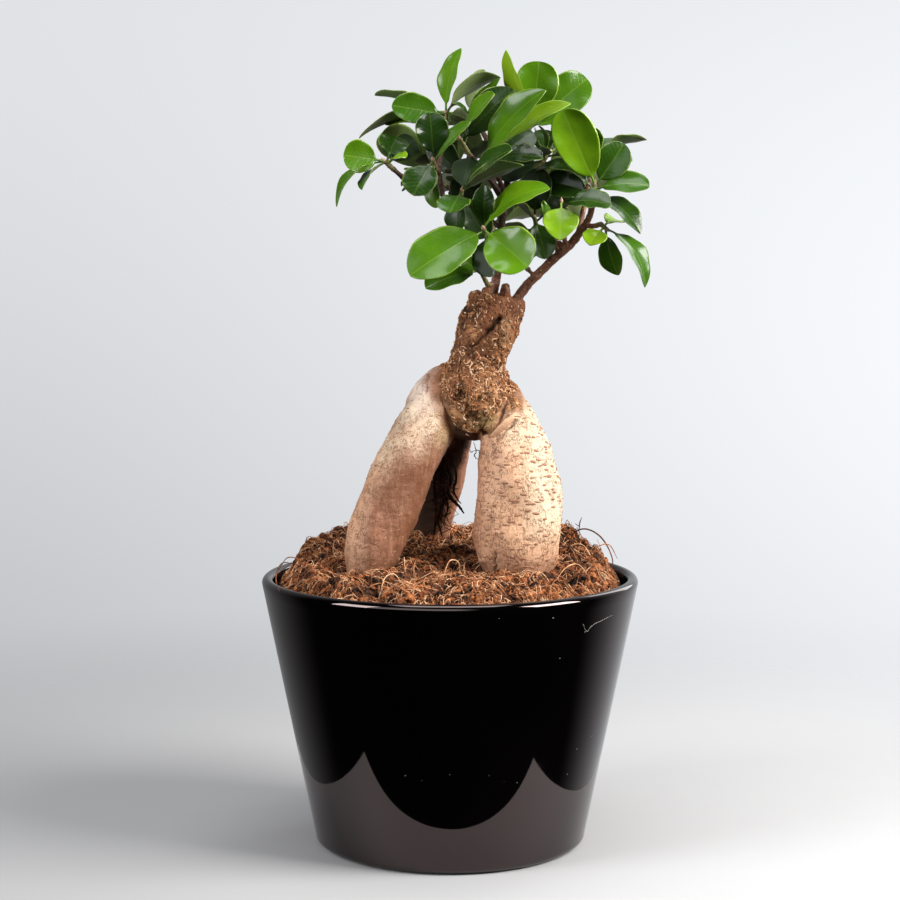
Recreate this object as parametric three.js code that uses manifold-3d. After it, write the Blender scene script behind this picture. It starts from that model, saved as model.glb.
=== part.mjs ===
// A ginseng ficus in a glazed pot, in millimetres, +Z up.
// The origin is the centre of the pot's flat foot, and the front of the plant looks along -Y.
// The pot, the potting mix, the swollen rootstock, the two grafted limbs and each leafy shoot are separate solids.
import * as THREE from "three";
import { mergeVertices } from "three/addons/utils/BufferGeometryUtils.js";
import Module from "manifold-3d";

const wasm = await Module();
wasm.setup();

// Driving dimensions
const POT_HEIGHT = 138;
const POT_FOOT_RADIUS = 69.2;
const POT_WALL_SLOPE = 0.202;
const POT_WALL = 6;
const POT_FLOOR = 8;
const FOOT_ROUND = 4;
const SOIL_LEVEL = 147;
const SOIL_RADIUS = 85;
const CLEARANCE = 0.35;
const SEAT_GAP = 0.3;
const BLADE_THICKNESS = 0.8;
const PETIOLE_LENGTH = 4.5;
const PETIOLE_RADIUS = 0.65;
const SHOOT_RADIUS = 1.3;
const GOLDEN_ANGLE = THREE.MathUtils.degToRad(137.5);

// Fineness
const POT_SIDES = 40;
const SOIL_SIDES = 32;
const ROOT_SIDES = 12;
const TWIG_SIDES = 6;

// Colours from the plant
const GLAZE = 0x0b0a0b;
const SOIL_BROWN = 0x6b4026;
const BARK_TAN = 0xb58a66;
const TWIG_BROWN = 0x6e4430;
const LEAF_GREEN = 0x3f7d1c;

const vec = (x, y, z) => new THREE.Vector3(x, y, z);

// A closed triangle mesh as a manifold-3d solid, turned to face outwards.
function solid(positions, triangles) {
  const geometry = new THREE.BufferGeometry();
  geometry.setAttribute("position", new THREE.Float32BufferAttribute(positions, 3));
  geometry.setIndex(triangles);
  const merged = mergeVertices(geometry, 1e-4);
  const points = merged.attributes.position.array;
  const faces = [];
  const index = merged.index.array;
  for (let i = 0; i < index.length; i += 3) {
    const [a, b, c] = [index[i], index[i + 1], index[i + 2]];
    if (a !== b && b !== c && a !== c) faces.push(a, b, c);
  }
  let volume = 0;
  for (let i = 0; i < faces.length; i += 3) {
    const [a, b, c] = [0, 1, 2].map((k) => vec(...points.slice(3 * faces[i + k], 3 * faces[i + k] + 3)));
    volume += a.dot(b.cross(c));
  }
  if (volume < 0) faces.reverse();
  return new wasm.Manifold(
    new wasm.Mesh({ numProp: 3, vertProperties: new Float32Array(points), triVerts: new Uint32Array(faces) }),
  );
}

// A closed body through rings of points. A ring of one point is an end that comes to a tip.
// The sides named in crossed are split along their other diagonal.
function loft(rings, crossed = []) {
  const positions = rings.flat().flatMap((p) => [p.x, p.y, p.z]);
  const starts = [];
  let count = 0;
  for (const ring of rings) {
    starts.push(count);
    count += ring.length;
  }
  const faces = [];
  for (let i = 0; i + 1 < rings.length; i++) {
    const [n, m] = [rings[i].length, rings[i + 1].length];
    for (let k = 0; k < Math.max(n, m); k++) {
      const a = starts[i] + (k % n);
      const b = starts[i] + ((k + 1) % n);
      const c = starts[i + 1] + (k % m);
      const d = starts[i + 1] + ((k + 1) % m);
      const other = n > 1 && m > 1 && crossed.includes(k);
      if (other) faces.push(a, b, c, b, d, c);
      if (n > 1 && !other) faces.push(a, b, d);
      if (m > 1 && !other) faces.push(a, d, c);
    }
  }
  const lid = (start, n, flip) => {
    for (let k = 1; k + 1 < n; k++) faces.push(start, start + k + (flip ? 1 : 0), start + k + (flip ? 0 : 1));
  };
  lid(starts[0], rings[0].length, true);
  lid(starts.at(-1), rings.at(-1).length, false);
  return solid(positions, faces);
}

// Rings round a smooth path. Each station is [x, y, z, radius across, radius in depth].
function stemRings(stations, sides, { grow = 0, steps = 1, ripple = () => 1 } = {}) {
  const centres = stations.map(([x, y, z]) => vec(x, y, z));
  for (const [end, next] of [[0, 1], [centres.length - 1, centres.length - 2]]) {
    centres[end].addScaledVector(centres[end].clone().sub(centres[next]).normalize(), grow);
  }
  const path = new THREE.CatmullRomCurve3(centres, false, "centripetal");
  const last = stations.length - 1;
  const rings = [];
  for (let i = 0; i <= last * steps; i++) {
    const u = i / (last * steps);
    const at = Math.min(Math.floor(i / steps), last - 1);
    const part = i / steps - at;
    const size = (station, k) => station[k] ?? station[3];
    const radius = (k) => THREE.MathUtils.lerp(size(stations[at], k), size(stations[at + 1], k), part) + grow;
    const centre = path.getPoint(u);
    const along = path.getTangent(u);
    const across = Math.abs(along.x) > 0.9 ? vec(0, 1, 0) : vec(1, 0, 0);
    across.addScaledVector(along, -across.dot(along)).normalize();
    const deep = along.clone().cross(across);
    const ring = [];
    for (let k = 0; k < sides; k++) {
      const turn = (2 * Math.PI * k) / sides;
      const swell = ripple(turn, centre);
      ring.push(
        centre
          .clone()
          .addScaledVector(across, radius(3) * swell * Math.cos(turn))
          .addScaledVector(deep, radius(4) * swell * Math.sin(turn)),
      );
    }
    rings.push(ring);
  }
  return rings;
}

const stem = (stations, sides, options) => loft(stemRings(stations, sides, options));
const fuse = (solids) => solids.reduce((all, one) => all.add(one));

// A solid as a named mesh in one colour.
function meshOf(name, made, colour, roughness) {
  const { numProp, numVert, vertProperties, triVerts } = made.getMesh();
  const points = new Float32Array(numVert * 3);
  for (let i = 0; i < numVert; i++) points.set(vertProperties.subarray(i * numProp, i * numProp + 3), i * 3);
  const geometry = new THREE.BufferGeometry();
  geometry.setAttribute("position", new THREE.BufferAttribute(points, 3));
  geometry.setIndex(new THREE.BufferAttribute(triVerts, 1));
  const mesh = new THREE.Mesh(geometry, new THREE.MeshStandardMaterial({ color: colour, roughness, metalness: 0 }));
  mesh.name = name;
  return mesh;
}

// The pot: a tapered cup turned about its axis, with a rounded foot edge and a rounded rim.
const potRadius = (z) => POT_FOOT_RADIUS + POT_WALL_SLOPE * z;

function potSolid() {
  const rimRound = POT_WALL / 2;
  const rimCentre = potRadius(POT_HEIGHT - rimRound) - rimRound;
  const profile = [[0, 0], [POT_FOOT_RADIUS - FOOT_ROUND, 0]];
  for (const turn of [30, 60, 90]) {
    const a = THREE.MathUtils.degToRad(turn);
    profile.push([POT_FOOT_RADIUS - FOOT_ROUND * (1 - Math.sin(a)), FOOT_ROUND * (1 - Math.cos(a))]);
  }
  for (const turn of [0, 45, 90, 135, 180]) {
    const a = THREE.MathUtils.degToRad(turn);
    profile.push([rimCentre + rimRound * Math.cos(a), POT_HEIGHT - rimRound + rimRound * Math.sin(a)]);
  }
  profile.push([potRadius(POT_FLOOR + FOOT_ROUND) - POT_WALL, POT_FLOOR + FOOT_ROUND]);
  profile.push([potRadius(POT_FLOOR) - POT_WALL - FOOT_ROUND, POT_FLOOR]);
  profile.push([0, POT_FLOOR]);
  const turned = new THREE.LatheGeometry(profile.map(([r, z]) => new THREE.Vector2(r, z)), POT_SIDES);
  turned.rotateX(Math.PI / 2);
  return solid(Array.from(turned.attributes.position.array), Array.from(turned.index.array));
}

// The rootstock: a short trunk on three swollen roots. Stations run [x, y, z, radius across, radius in depth].
const TRUNK = [
  [8.5, -7, 208.5, 6, 6],
  [9, -6, 213, 12, 11],
  [11, -4, 220, 17, 15.5],
  [12.5, -2, 228, 18.5, 17],
  [13, -1, 237, 16.5, 15.5],
  [14, 0, 247, 13.5, 13],
  [17, 0, 257, 14.5, 13.5],
  [20, 0, 266, 15, 13.5],
  [23, 0, 275, 13.5, 12.5],
  [24, 0, 281, 10.5, 10],
];
const LEFT_ROOT = [
  [5, 3, 233, 10, 10],
  [-4, 0, 224, 13.5, 13],
  [-13, -5, 213, 15, 15],
  [-21, -12, 199, 15, 15],
  [-27, -15, 186, 15.5, 15],
  [-32, -18, 172, 15.8, 15],
  [-36.5, -20, 160, 15, 14.5],
  [-39, -21, 150, 13.8, 13.5],
  [-41, -22, 138, 11.5, 11.5],
  [-43, -23, 122, 8, 8],
];
const RIGHT_ROOT = [
  [19, 1, 238, 8, 9],
  [25, -2, 227, 11.5, 12],
  [30, -7, 216, 14.5, 15],
  [33, -14, 203, 18.5, 17.5],
  [34, -17, 188, 21, 19.5],
  [34.4, -18, 174, 22, 20],
  [34.6, -19, 161, 22, 20],
  [35, -19, 150, 20.5, 18.5],
  [35, -19, 138, 17, 16],
  [35, -19, 120, 10, 10],
];
const BACK_ROOT = [
  [7, 4, 238, 9, 9],
  [-1, 10, 232, 15, 14],
  [-5, 15, 224, 18, 16],
  [-5, 22, 208, 17.5, 16],
  [-6, 29, 191, 14.5, 14],
  [-8, 34, 176, 12.8, 13],
  [-10, 38, 162, 11.8, 12],
  [-11, 41, 148, 11, 11],
  [-12, 43, 126, 7.5, 7.5],
];
const ROOTS = [LEFT_ROOT, RIGHT_ROOT, BACK_ROOT];
// Pruned stubs on the crown of the trunk.
const STUBS = [
  [[27.5, -3, 274, 3.2], [28, -4, 284, 2.6], [28.6, -5, 287, 1.8]],
  [[14, -2, 272, 4.5], [13, -3, 281, 3.6], [12.5, -3, 283.5, 2.2]],
  [[33, 1, 268, 4], [35, 1, 277, 3.4], [35.5, 1, 279.5, 2]],
  [[20, 8, 272, 4], [19, 10, 282, 3.2], [18.6, 11, 285, 2]],
];
// Shallow swellings and hollows round a root.
const rootRipple = (turn, at) => 1 + 0.03 * Math.sin(3 * turn + at.z / 9) + 0.02 * Math.sin(5 * turn - at.z / 6);
// Deeper fluting round the trunk.
const trunkRipple = (turn, at) => 1 + 0.05 * Math.sin(4 * turn + at.z / 7) + 0.04 * Math.sin(7 * turn - at.z / 4);

// The potting mix: a turned body with a heaped, lumpy top, a little clear of the pot, with a plain hole for each root.
function soilHeight(x, y) {
  const r = Math.hypot(x, y);
  const tilt = 0.13 * THREE.MathUtils.clamp(y, -60, 45);
  const lumps = 1.7 * Math.sin(x / 9 + 1.3) * Math.cos(y / 8 + 0.4) + 1.3 * Math.sin(x / 5.5 - y / 7 + 2.1);
  const edge = THREE.MathUtils.smoothstep(r, 76, SOIL_RADIUS + 1);
  const drop = 14 + 0.13 * THREE.MathUtils.clamp(y, -60, 0);
  return SOIL_LEVEL + tilt + lumps * (1 - 0.6 * edge) - drop * edge;
}

function soilSolid(rootHoles) {
  const bottom = POT_FLOOR + SEAT_GAP;
  const inner = (z) => potRadius(z) - POT_WALL - SEAT_GAP * 1.5;
  const ringAt = (radius, height) => {
    const ring = [];
    for (let k = 0; k < SOIL_SIDES; k++) {
      const turn = (2 * Math.PI * k) / SOIL_SIDES;
      const [x, y] = [radius * Math.cos(turn), radius * Math.sin(turn)];
      ring.push(vec(x, y, height ?? soilHeight(x, y)));
    }
    return ring;
  };
  const shoulder = 118;
  const rings = [[vec(0, 0, bottom)], ringAt(inner(bottom + FOOT_ROUND) - FOOT_ROUND - 1, bottom)];
  rings.push(ringAt(inner(bottom + FOOT_ROUND) - 0.5, bottom + FOOT_ROUND), ringAt(inner(shoulder) - 0.5, shoulder));
  for (const radius of [SOIL_RADIUS, 82, 78, 73, 64, 53, 42, 30, 18, 8]) rings.push(ringAt(radius));
  rings.push([vec(0, 0, soilHeight(0, 0))]);
  return rootHoles.reduce((mix, hole) => mix.subtract(hole), loft(rings));
}

// The grafted limbs and their twigs. Each twig is a list of [x, y, z, radius], and a side twig starts inside its parent.
const CENTRE_LIMB = {
  leader: [
    [20.5, 1, 269, 2.8],
    [22, 1, 281, 2.5],
    [24, 0, 292, 2.3],
    [25.5, 1, 309, 2.1],
    [27, 4, 324, 2],
    [29, 6, 338, 1.9],
    [33, 8, 351, 1.7],
    [38, 9, 361, 1.5],
  ],
  left_limb: [
    [25, 0, 304, 1.7],
    [20, -3, 311, 1.7],
    [12, -5, 321, 1.7],
    [3, -6, 325, 1.6],
    [-5, -6, 328, 1.6],
    [-22, -7, 339, 1.4],
    [-29, -8, 345, 1.4],
  ],
  left_riser: [
    [-2.5, -6, 326.5, 1.3],
    [-5, -5, 339, 1.5],
    [-5.5, -3, 348, 1.4],
    [-2.5, -1, 359, 1.4],
    [-2, 0, 366, 1.4],
  ],
  left_front: [
    [-5.2, -4, 341, 1.2],
    [-7, -8, 344.5, 1.4],
  ],
  knee: [
    [4, -6, 325, 1.3],
    [5, -11, 329, 1.4],
  ],
  low_left: [
    [24, 0, 288, 1.3],
    [20, -8, 286.5, 1.5],
    [19, -14, 287, 1.4],
  ],
  front_low: [
    [25, 0.5, 302, 1.3],
    [22, -9, 306, 1.5],
    [19, -17, 310, 1.4],
  ],
  middle: [
    [28, 5, 331, 1.3],
    [25, -3, 339, 1.5],
    [22.5, -9, 344.5, 1.4],
  ],
  middle_left: [
    [27.5, 4.5, 327, 1.3],
    [18, 5, 343, 1.5],
    [10, 1, 352, 1.4],
  ],
  inner_left: [
    [13, -5, 320.5, 1.3],
    [10, 3, 329, 1.5],
    [8, 7, 336, 1.4],
  ],
  inner_right: [
    [28.5, 5.5, 333, 1.3],
    [38, 4, 340, 1.5],
    [44, 3, 345, 1.4],
  ],
  back_left: [
    [26, 2.5, 315, 1.4],
    [12, 16, 326, 1.6],
    [-2, 25, 337, 1.4],
  ],
  back_middle: [
    [27.5, 5, 328, 1.4],
    [24, 20, 336, 1.6],
    [20, 31, 344, 1.4],
  ],
  back_top: [
    [30, 6.5, 342, 1.3],
    [22, 17, 355, 1.5],
    [17, 22, 364, 1.4],
  ],
  back_low: [
    [24.8, 0.5, 298, 1.3],
    [22, 16, 303, 1.5],
    [20, 26, 309, 1.4],
  ],
};
const RIGHT_LIMB = {
  limb: [
    [27.5, -2, 266, 3.3],
    [31.5, -3, 275, 3.1],
    [37.5, -3, 284.5, 2.7],
    [44.2, -4, 291.5, 2.5],
    [51.8, -6, 299, 2.4],
    [60, -8, 306.3, 2.4],
    [64.5, -9, 311.8, 2.3],
    [68.5, -10, 317.5, 2.1],
  ],
  head: [
    [67.8, -10, 317, 1.7],
    [70, -11, 321, 2],
    [71.5, -12, 327, 1.7],
  ],
  outer: [
    [68, -10.3, 316.3, 1.4],
    [72, -14, 316, 1.5],
    [74, -16, 316.5, 1.4],
  ],
  front: [
    [59, -8, 305.5, 1.5],
    [56, -15, 313, 1.5],
    [54.5, -20, 320, 1.4],
  ],
  spur: [
    [43, -4, 290.5, 1.2],
    [39, -4.5, 294.8, 1.1],
  ],
  snag: [
    [57.5, -7.6, 303.5, 1.9],
    [54.8, -9, 308, 1.6],
  ],
  inner: [
    [51, -6, 298.6, 1.3],
    [46, -3, 308, 1.5],
    [44.5, -2, 313, 1.4],
  ],
  right_back: [
    [64, -9, 311.5, 1.4],
    [68, 4, 325, 1.6],
    [71, 9, 340, 1.4],
  ],
  far_back: [
    [54.5, -6.7, 301.5, 1.5],
    [54, 12, 315, 1.5],
    [56, 24, 327, 1.5],
  ],
};

// Leaf outlines: how fast a blade widens from its stalk, and how blunt its end is.
const FORMS = { round: [0.62, 0.42], oval: [0.66, 0.52], slim: [0.7, 0.72] };
// Where a blade has its ribs, and how far its edges lift for each millimetre from the midrib.
const BLADE_STATIONS = [0.1, 0.34, 0.62, 0.88];
const BACK_STATIONS = [0.13, 0.5, 0.86];
const FOLD = 0.22;

// Leafy shoots. Each has a green stem from the end of its twig to a bud, and leaves as
// [x, y, z of the tip, width, x, y, z that the upper face looks towards, arch, form].
// The first leaves sit nearest the bud.
const SHOOTS = {
  shoot_far_left: {
    twig: [CENTRE_LIMB, "left_limb"],
    bud: [-33, -9, 348.5],
    leaves: [
      [-53, -16, 351, 17, 0, -4, 1, 0.03, "round"],
      [-57, -14, 326, 12, -2, -1, 3, 0.2, "slim"],
      [-44, -21, 334, 12, -3, -1, 2, 0.1, "slim"],
      [-27, -4, 361, 16, 0, -4, 1, 0.03, "round"],
      [-22, -18, 350, 10, 0, -2, 3, 0.1, "oval"],
      [-18, 8, 360, 14, 1, -3, 1, 0.03, "oval"],
    ],
  },
  shoot_left_top: {
    twig: [CENTRE_LIMB, "left_riser"],
    bud: [-2, 0, 373],
    leaves: [
      [5.5, 0, 405, 16, -3, -2, 0, 0.08, "slim"],
      [25, 12, 392, 16, -3, 3, 5, 0.12, "slim"],
      [-29, -8, 376, 16, 0, -4, 1, 0.03, "oval"],
      [-38, 8, 383, 14, 0, 1, 4, 0.06, "oval"],
      [-33, 5, 368, 15, 0, -2, 3, 0.05, "round"],
      [-46, -2, 361, 14, 0, 1, 4, 0.12, "slim"],
      [9, -6, 372, 7, 1, -1, 4, 0.5, "slim"],
    ],
  },
  shoot_left_front: {
    twig: [CENTRE_LIMB, "left_front"],
    bud: [-8.5, -12, 349],
    leaves: [
      [-18, -24, 331.5, 18, -1, -4, 1, 0.03, "round"],
      [-10, -14, 372, 17, 1, -5, 0, 0.03, "round"],
      [10, -22, 367, 14, -3, -2, 3, 0.04, "slim"],
      [-7, -14, 325, 10, -2, -2, 1, 0.08, "oval"],
    ],
  },
  shoot_knee: {
    twig: [CENTRE_LIMB, "knee"],
    bud: [6, -15, 334],
    leaves: [
      [30, -38, 353, 18, -2, -2, 3, 0.06, "oval"],
      [36, -30, 346, 17, 0, 1, 3, 0.06, "slim"],
      [0, -31, 322.5, 17, 0, -2, 3, 0.03, "round"],
      [3, -14, 313, 13, -2, -3, 1, 0.06, "oval"],
      [10, -7, 350, 15, -1, -3, 1, 0.04, "oval"],
    ],
  },
  shoot_front_low: {
    twig: [CENTRE_LIMB, "front_low"],
    bud: [16.5, -24, 315],
    leaves: [
      [49, -30, 334.5, 20, -1, -2, 3, 0.14, "oval"],
      [38, -38, 296, 26, 0, -4, 1, 0.04, "round"],
      [-19.5, -38, 292, 26, -1, -4, 2, 0.05, "oval"],
      [20, -30, 291, 16, -1, -4, 0, 0.05, "oval"],
      [17, -25, 336, 12, -1, -3, 1, 0.04, "oval"],
    ],
  },
  shoot_low_left: {
    twig: [CENTRE_LIMB, "low_left"],
    bud: [15, -20, 294],
    leaves: [
      [-12, -32, 285.5, 17, -1, -3, 3, 0.06, "oval"],
      [7, -13, 299, 9, -1, -2, 2, 0.08, "oval"],
    ],
  },
  shoot_middle_left: {
    twig: [CENTRE_LIMB, "middle_left"],
    bud: [5, -4, 360],
    leaves: [
      [22, -18, 381, 16, -3, -2, 3, 0.05, "oval"],
      [32, -4, 384, 19, -1, -3, 1, 0.08, "oval"],
      [25, 7, 391, 13, -3, -2, 3, 0.06, "slim"],
    ],
  },
  shoot_middle: {
    twig: [CENTRE_LIMB, "middle"],
    bud: [17, -12, 350],
    leaves: [
      [46, -34, 382, 21, -3, -3, 2, 0.08, "slim"],
      [59, -28, 376, 19, -2, -2, 3, 0.08, "slim"],
      [46, -20, 350, 18, 0, -2, 3, 0.06, "oval"],
      [42, -5, 363, 17, 0, -3, 2, 0.05, "oval"],
    ],
  },
  shoot_top: {
    twig: [CENTRE_LIMB, "leader"],
    bud: [43, 10, 370],
    leaves: [
      [28, 0, 404, 15, -3, -2, 0, 0.05, "slim"],
      [45, 6, 399, 22, 0, -5, 0, 0.03, "round"],
      [70, 15, 391, 21, 1, -4, 1, 0.05, "round"],
      [60, -6, 368, 15, 0, -2, 3, 0.05, "oval"],
      [44, 36, 388, 18, 0, -1, 3, 0.08, "oval"],
      [66, 28, 376, 19, 1, -1, 3, 0.08, "round"],
    ],
  },
  shoot_right_head: {
    twig: [RIGHT_LIMB, "head"],
    bud: [72.5, -12, 337],
    leaves: [
      [56, -18, 373, 22, 0, -5, 0, 0.04, "round"],
      [87, -12, 357, 17, 0, -4, 0, 0.05, "oval"],
      [99, -20, 336, 15, 0, -3, 3, 0.08, "round"],
      [43, -8, 344, 19, 0, -1, 3, 0.2, "oval"],
      [94.5, -24, 312.5, 15, 1, -2, 3, 0.12, "slim"],
    ],
  },
  shoot_right_outer: {
    twig: [RIGHT_LIMB, "outer"],
    bud: [78, -19, 314.5],
    leaves: [
      [97, -26, 286, 15, 2, -2, 2, 0.18, "slim"],
      [84, -18, 291.5, 13, -2, -3, 0, 0.08, "slim"],
      [69, -30, 307, 13, -1, -3, 1, 0.04, "oval"],
      [86, -2, 319, 12, 0, -2, 3, 0.08, "round"],
    ],
  },
  shoot_right_front: {
    twig: [RIGHT_LIMB, "front"],
    bud: [55, -23, 328],
    leaves: [
      [54, -36, 309.5, 18, 0, -4, 1, 0.06, "slim"],
      [79, -30, 326, 18, 0, -2, 3, 0.1, "round"],
      [46, -24, 322, 12, -1, -3, 1, 0.04, "oval"],
    ],
  },
  shoot_right_inner: {
    twig: [RIGHT_LIMB, "inner"],
    bud: [42.5, -3, 321],
    leaves: [
      [48, -12, 300, 14, 1, -4, 0, 0.04, "oval"],
      [45, -6, 345, 17, -1, -3, 1, 0.05, "oval"],
      [27, -14, 331, 15, 0, -1, 3, 0.05, "oval"],
      [62, 0, 331, 15, 0, -2, 3, 0.05, "oval"],
      [33, -12, 304, 13, -1, -3, 1, 0.04, "oval"],
    ],
  },
  shoot_spur: {
    twig: [RIGHT_LIMB, "spur"],
    bud: [38, -5, 298.5],
    leaves: [
      [34, -9, 305, 5, -1, -3, 1, 0.05, "oval"],
      [42, -9, 304, 5, 1, -3, 1, 0.05, "oval"],
    ],
  },
  shoot_right_back: {
    twig: [RIGHT_LIMB, "right_back"],
    bud: [73, 10, 350],
    leaves: [
      [100, 8, 360, 15, 0, 1, 4, 0.1, "slim"],
      [71, 2, 366, 12, 0, -3, 1, 0.05, "oval"],
      [92, 2, 350, 15, 0, -2, 3, 0.06, "oval"],
      [86, 34, 362, 18, 0, 1, 4, 0.08, "oval"],
      [64, 34, 370, 17, 0, 1, 4, 0.1, "round"],
    ],
  },
};

// Shoots inside the crown and at its back, each with its leaves in a spiral round the stem.
// Each is [limb, twig, x, y, z of the bud, leaf count, leaf length, starting turn in degrees].
const SPIRAL_SHOOTS = {
  shoot_inner_left: [CENTRE_LIMB, "inner_left", 5, 10, 345, 6, 26, 280],
  shoot_inner_right: [CENTRE_LIMB, "inner_right", 50, 3, 353, 6, 28, 60],
  shoot_back_left: [CENTRE_LIMB, "back_left", -10, 30, 346, 7, 36, 100],
  shoot_back_middle: [CENTRE_LIMB, "back_middle", 19, 39, 352, 6, 34, 40],
  shoot_back_top: [CENTRE_LIMB, "back_top", 11, 29, 371, 6, 27, 30],
  shoot_back_low: [CENTRE_LIMB, "back_low", 24, 33, 318, 6, 30, 20],
  shoot_back_right: [RIGHT_LIMB, "far_back", 55, 35, 335, 7, 33, 310],
};

// A leaf: a stalk that widens into a blade with a fold along its midrib. Both faces are split into triangles alike.
function leafSolid(base, [x, y, z, width, fx, fy, fz, arch, form], stations = BLADE_STATIONS) {
  const tip = vec(x, y, z);
  const along = tip.clone().sub(base);
  const length = along.length();
  along.normalize();
  const face = vec(fx, fy, fz);
  face.addScaledVector(along, -face.dot(along)).normalize();
  const side = along.clone().cross(face);
  const stalk = PETIOLE_LENGTH / length;
  const [widen, blunt] = FORMS[form];
  const widest = widen / (widen + blunt);
  const ringAt = (u, half, thick, lift) => {
    const centre = base.clone().lerp(tip, u).addScaledVector(face, 4 * arch * length * u * (1 - u));
    const at = (across, up) => centre.clone().addScaledVector(side, across).addScaledVector(face, up);
    const upper = [at(-half, lift + thick), at(0, thick), at(half, lift + thick)];
    return [...upper, at(half, lift - thick), at(0, -thick), at(-half, lift - thick)];
  };
  const rings = [0, stalk].map((u) => ringAt(u, PETIOLE_RADIUS, PETIOLE_RADIUS, 0));
  for (const v of stations) {
    const half = (width / 2) * (v / widest) ** widen * ((1 - v) / (1 - widest)) ** blunt;
    rings.push(ringAt(stalk + (1 - stalk) * v, half, BLADE_THICKNESS / 2, FOLD * half));
  }
  rings.push([tip]);
  return loft(rings, [3, 4]);
}

// The stem of a shoot goes on from the end of its twig, a little clear of it, and turns towards the bud.
function shootStem([limb, name], bud) {
  const end = vec(...limb[name].at(-1));
  const before = vec(...limb[name].at(-2));
  const onward = end.clone().sub(before).normalize();
  const start = end.clone().addScaledVector(onward, SEAT_GAP);
  const bend = start.clone().addScaledVector(onward, 1.5);
  return [start, bend, bend.clone().lerp(bud, 0.5), bud].map((p, i) => [...p.toArray(), SHOOT_RADIUS - 0.12 * i]);
}

// A shoot: its stem, drawn to a pointed bud, with leaves from points along its upper part.
function shootSolid({ twig, bud, leaves, deep = [], ribs }) {
  const top = vec(...bud);
  const stations = shootStem(twig, top);
  const rings = stemRings(stations, TWIG_SIDES);
  const heart = vec(...stations[1]);
  rings.push([top.clone().lerp(heart, -0.3)]);
  const bases = leaves.map((_, i) => heart.clone().lerp(top, 0.97 - (0.75 * i) / leaves.length));
  const parts = leaves.map((leaf, i) => leafSolid(bases[i], leaf, ribs));
  parts.push(...deep.map((leaf) => leafSolid(heart.clone().lerp(top, 0.45), leaf, ribs)));
  return fuse([loft(rings), ...parts]);
}

// A spiral shoot written out like the others: each leaf turns by the golden angle from the one above it.
function spiralShoot([limb, twig, x, y, z, count, length, turn]) {
  const bud = vec(x, y, z);
  const axis = bud.clone().sub(vec(...limb[twig].at(-1))).normalize();
  const across = vec(1, 0, 0).addScaledVector(axis, -axis.x).normalize();
  const deep = axis.clone().cross(across);
  const leaves = [];
  for (let i = 0; i < count; i++) {
    const angle = THREE.MathUtils.degToRad(turn) + GOLDEN_ANGLE * i;
    const out = across.clone().multiplyScalar(Math.cos(angle)).addScaledVector(deep, Math.sin(angle));
    const rise = 0.9 - (1.3 * i) / count;
    const way = out.clone().addScaledVector(axis, rise).normalize();
    const reach = length * (0.75 + 0.25 * Math.sin(1.7 * i + turn));
    const tip = bud.clone().addScaledVector(way, reach);
    const face = axis.clone().addScaledVector(out, -rise);
    const form = ["oval", "round", "oval"][i % 3];
    leaves.push([...tip.toArray(), reach * 0.56, ...face.toArray(), 0.07, form]);
  }
  return { twig: [limb, twig], bud: [x, y, z], leaves, ribs: BACK_STATIONS };
}

const limbSolid = (limb, grow = 0) => fuse(Object.values(limb).map((twig) => stem(twig, TWIG_SIDES, { grow })));

const grafts = [CENTRE_LIMB.leader, RIGHT_LIMB.limb].map((twig) => stem(twig, TWIG_SIDES, { grow: CLEARANCE }));
const rootstock = grafts.reduce(
  (wood, graft) => wood.subtract(graft),
  fuse([
    stem(TRUNK, ROOT_SIDES, { ripple: trunkRipple }),
    ...ROOTS.map((root) => stem(root, ROOT_SIDES, { ripple: rootRipple })),
    ...STUBS.map((stub) => stem(stub, TWIG_SIDES)),
  ]),
);
const rootHoles = ROOTS.map((root) => stem(root, ROOT_SIDES, { ripple: rootRipple, grow: CLEARANCE }));

const ficus = new THREE.Group();
ficus.name = "ginseng_ficus";
ficus.add(meshOf("pot", potSolid(), GLAZE, 0.08));
ficus.add(meshOf("soil", soilSolid(rootHoles), SOIL_BROWN, 1));
ficus.add(meshOf("rootstock", rootstock, BARK_TAN, 0.85));
ficus.add(meshOf("limb_centre", limbSolid(CENTRE_LIMB), TWIG_BROWN, 0.8));
ficus.add(meshOf("limb_right", limbSolid(RIGHT_LIMB), TWIG_BROWN, 0.8));
// Leaves deeper in the crown, which close the gaps between the shoots. They grow lower on the stem.
const DEEP_LEAVES = {
  shoot_inner_right: [
    [23.3, 5.9, 342.8, 15, 0, -4, 1, 0.05, "oval"],
    [47.5, 11.9, 365.2, 12, 0, -4, 1, 0.05, "oval"],
  ],
  shoot_inner_left: [[-11.3, -0.2, 358.6, 15, 0, -4, 1, 0.05, "oval"]],
  shoot_middle: [[2.1, 4, 329.9, 15, 0, -4, 1, 0.05, "oval"]],
  shoot_knee: [[18.1, -10.6, 310.2, 15, 0, -4, 1, 0.05, "oval"]],
  shoot_right_head: [[48, -3.2, 338.9, 15, 0, -4, 1, 0.05, "oval"]],
};

const shoots = { ...SHOOTS };
for (const [name, plan] of Object.entries(SPIRAL_SHOOTS)) shoots[name] = spiralShoot(plan);
for (const [name, shoot] of Object.entries(shoots)) {
  ficus.add(meshOf(name, shootSolid({ ...shoot, deep: DEEP_LEAVES[name] }), LEAF_GREEN, 0.35));
}

export default ficus;
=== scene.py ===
"""A ginseng ficus in a glazed pot: finer pieces, materials, floor, light and camera round the solid model.

Sizes in the tables are in millimetres, with X to the right, Y away from the camera and Z up.
Meshes, floor, lamps and camera are in metres.
"""

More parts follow.
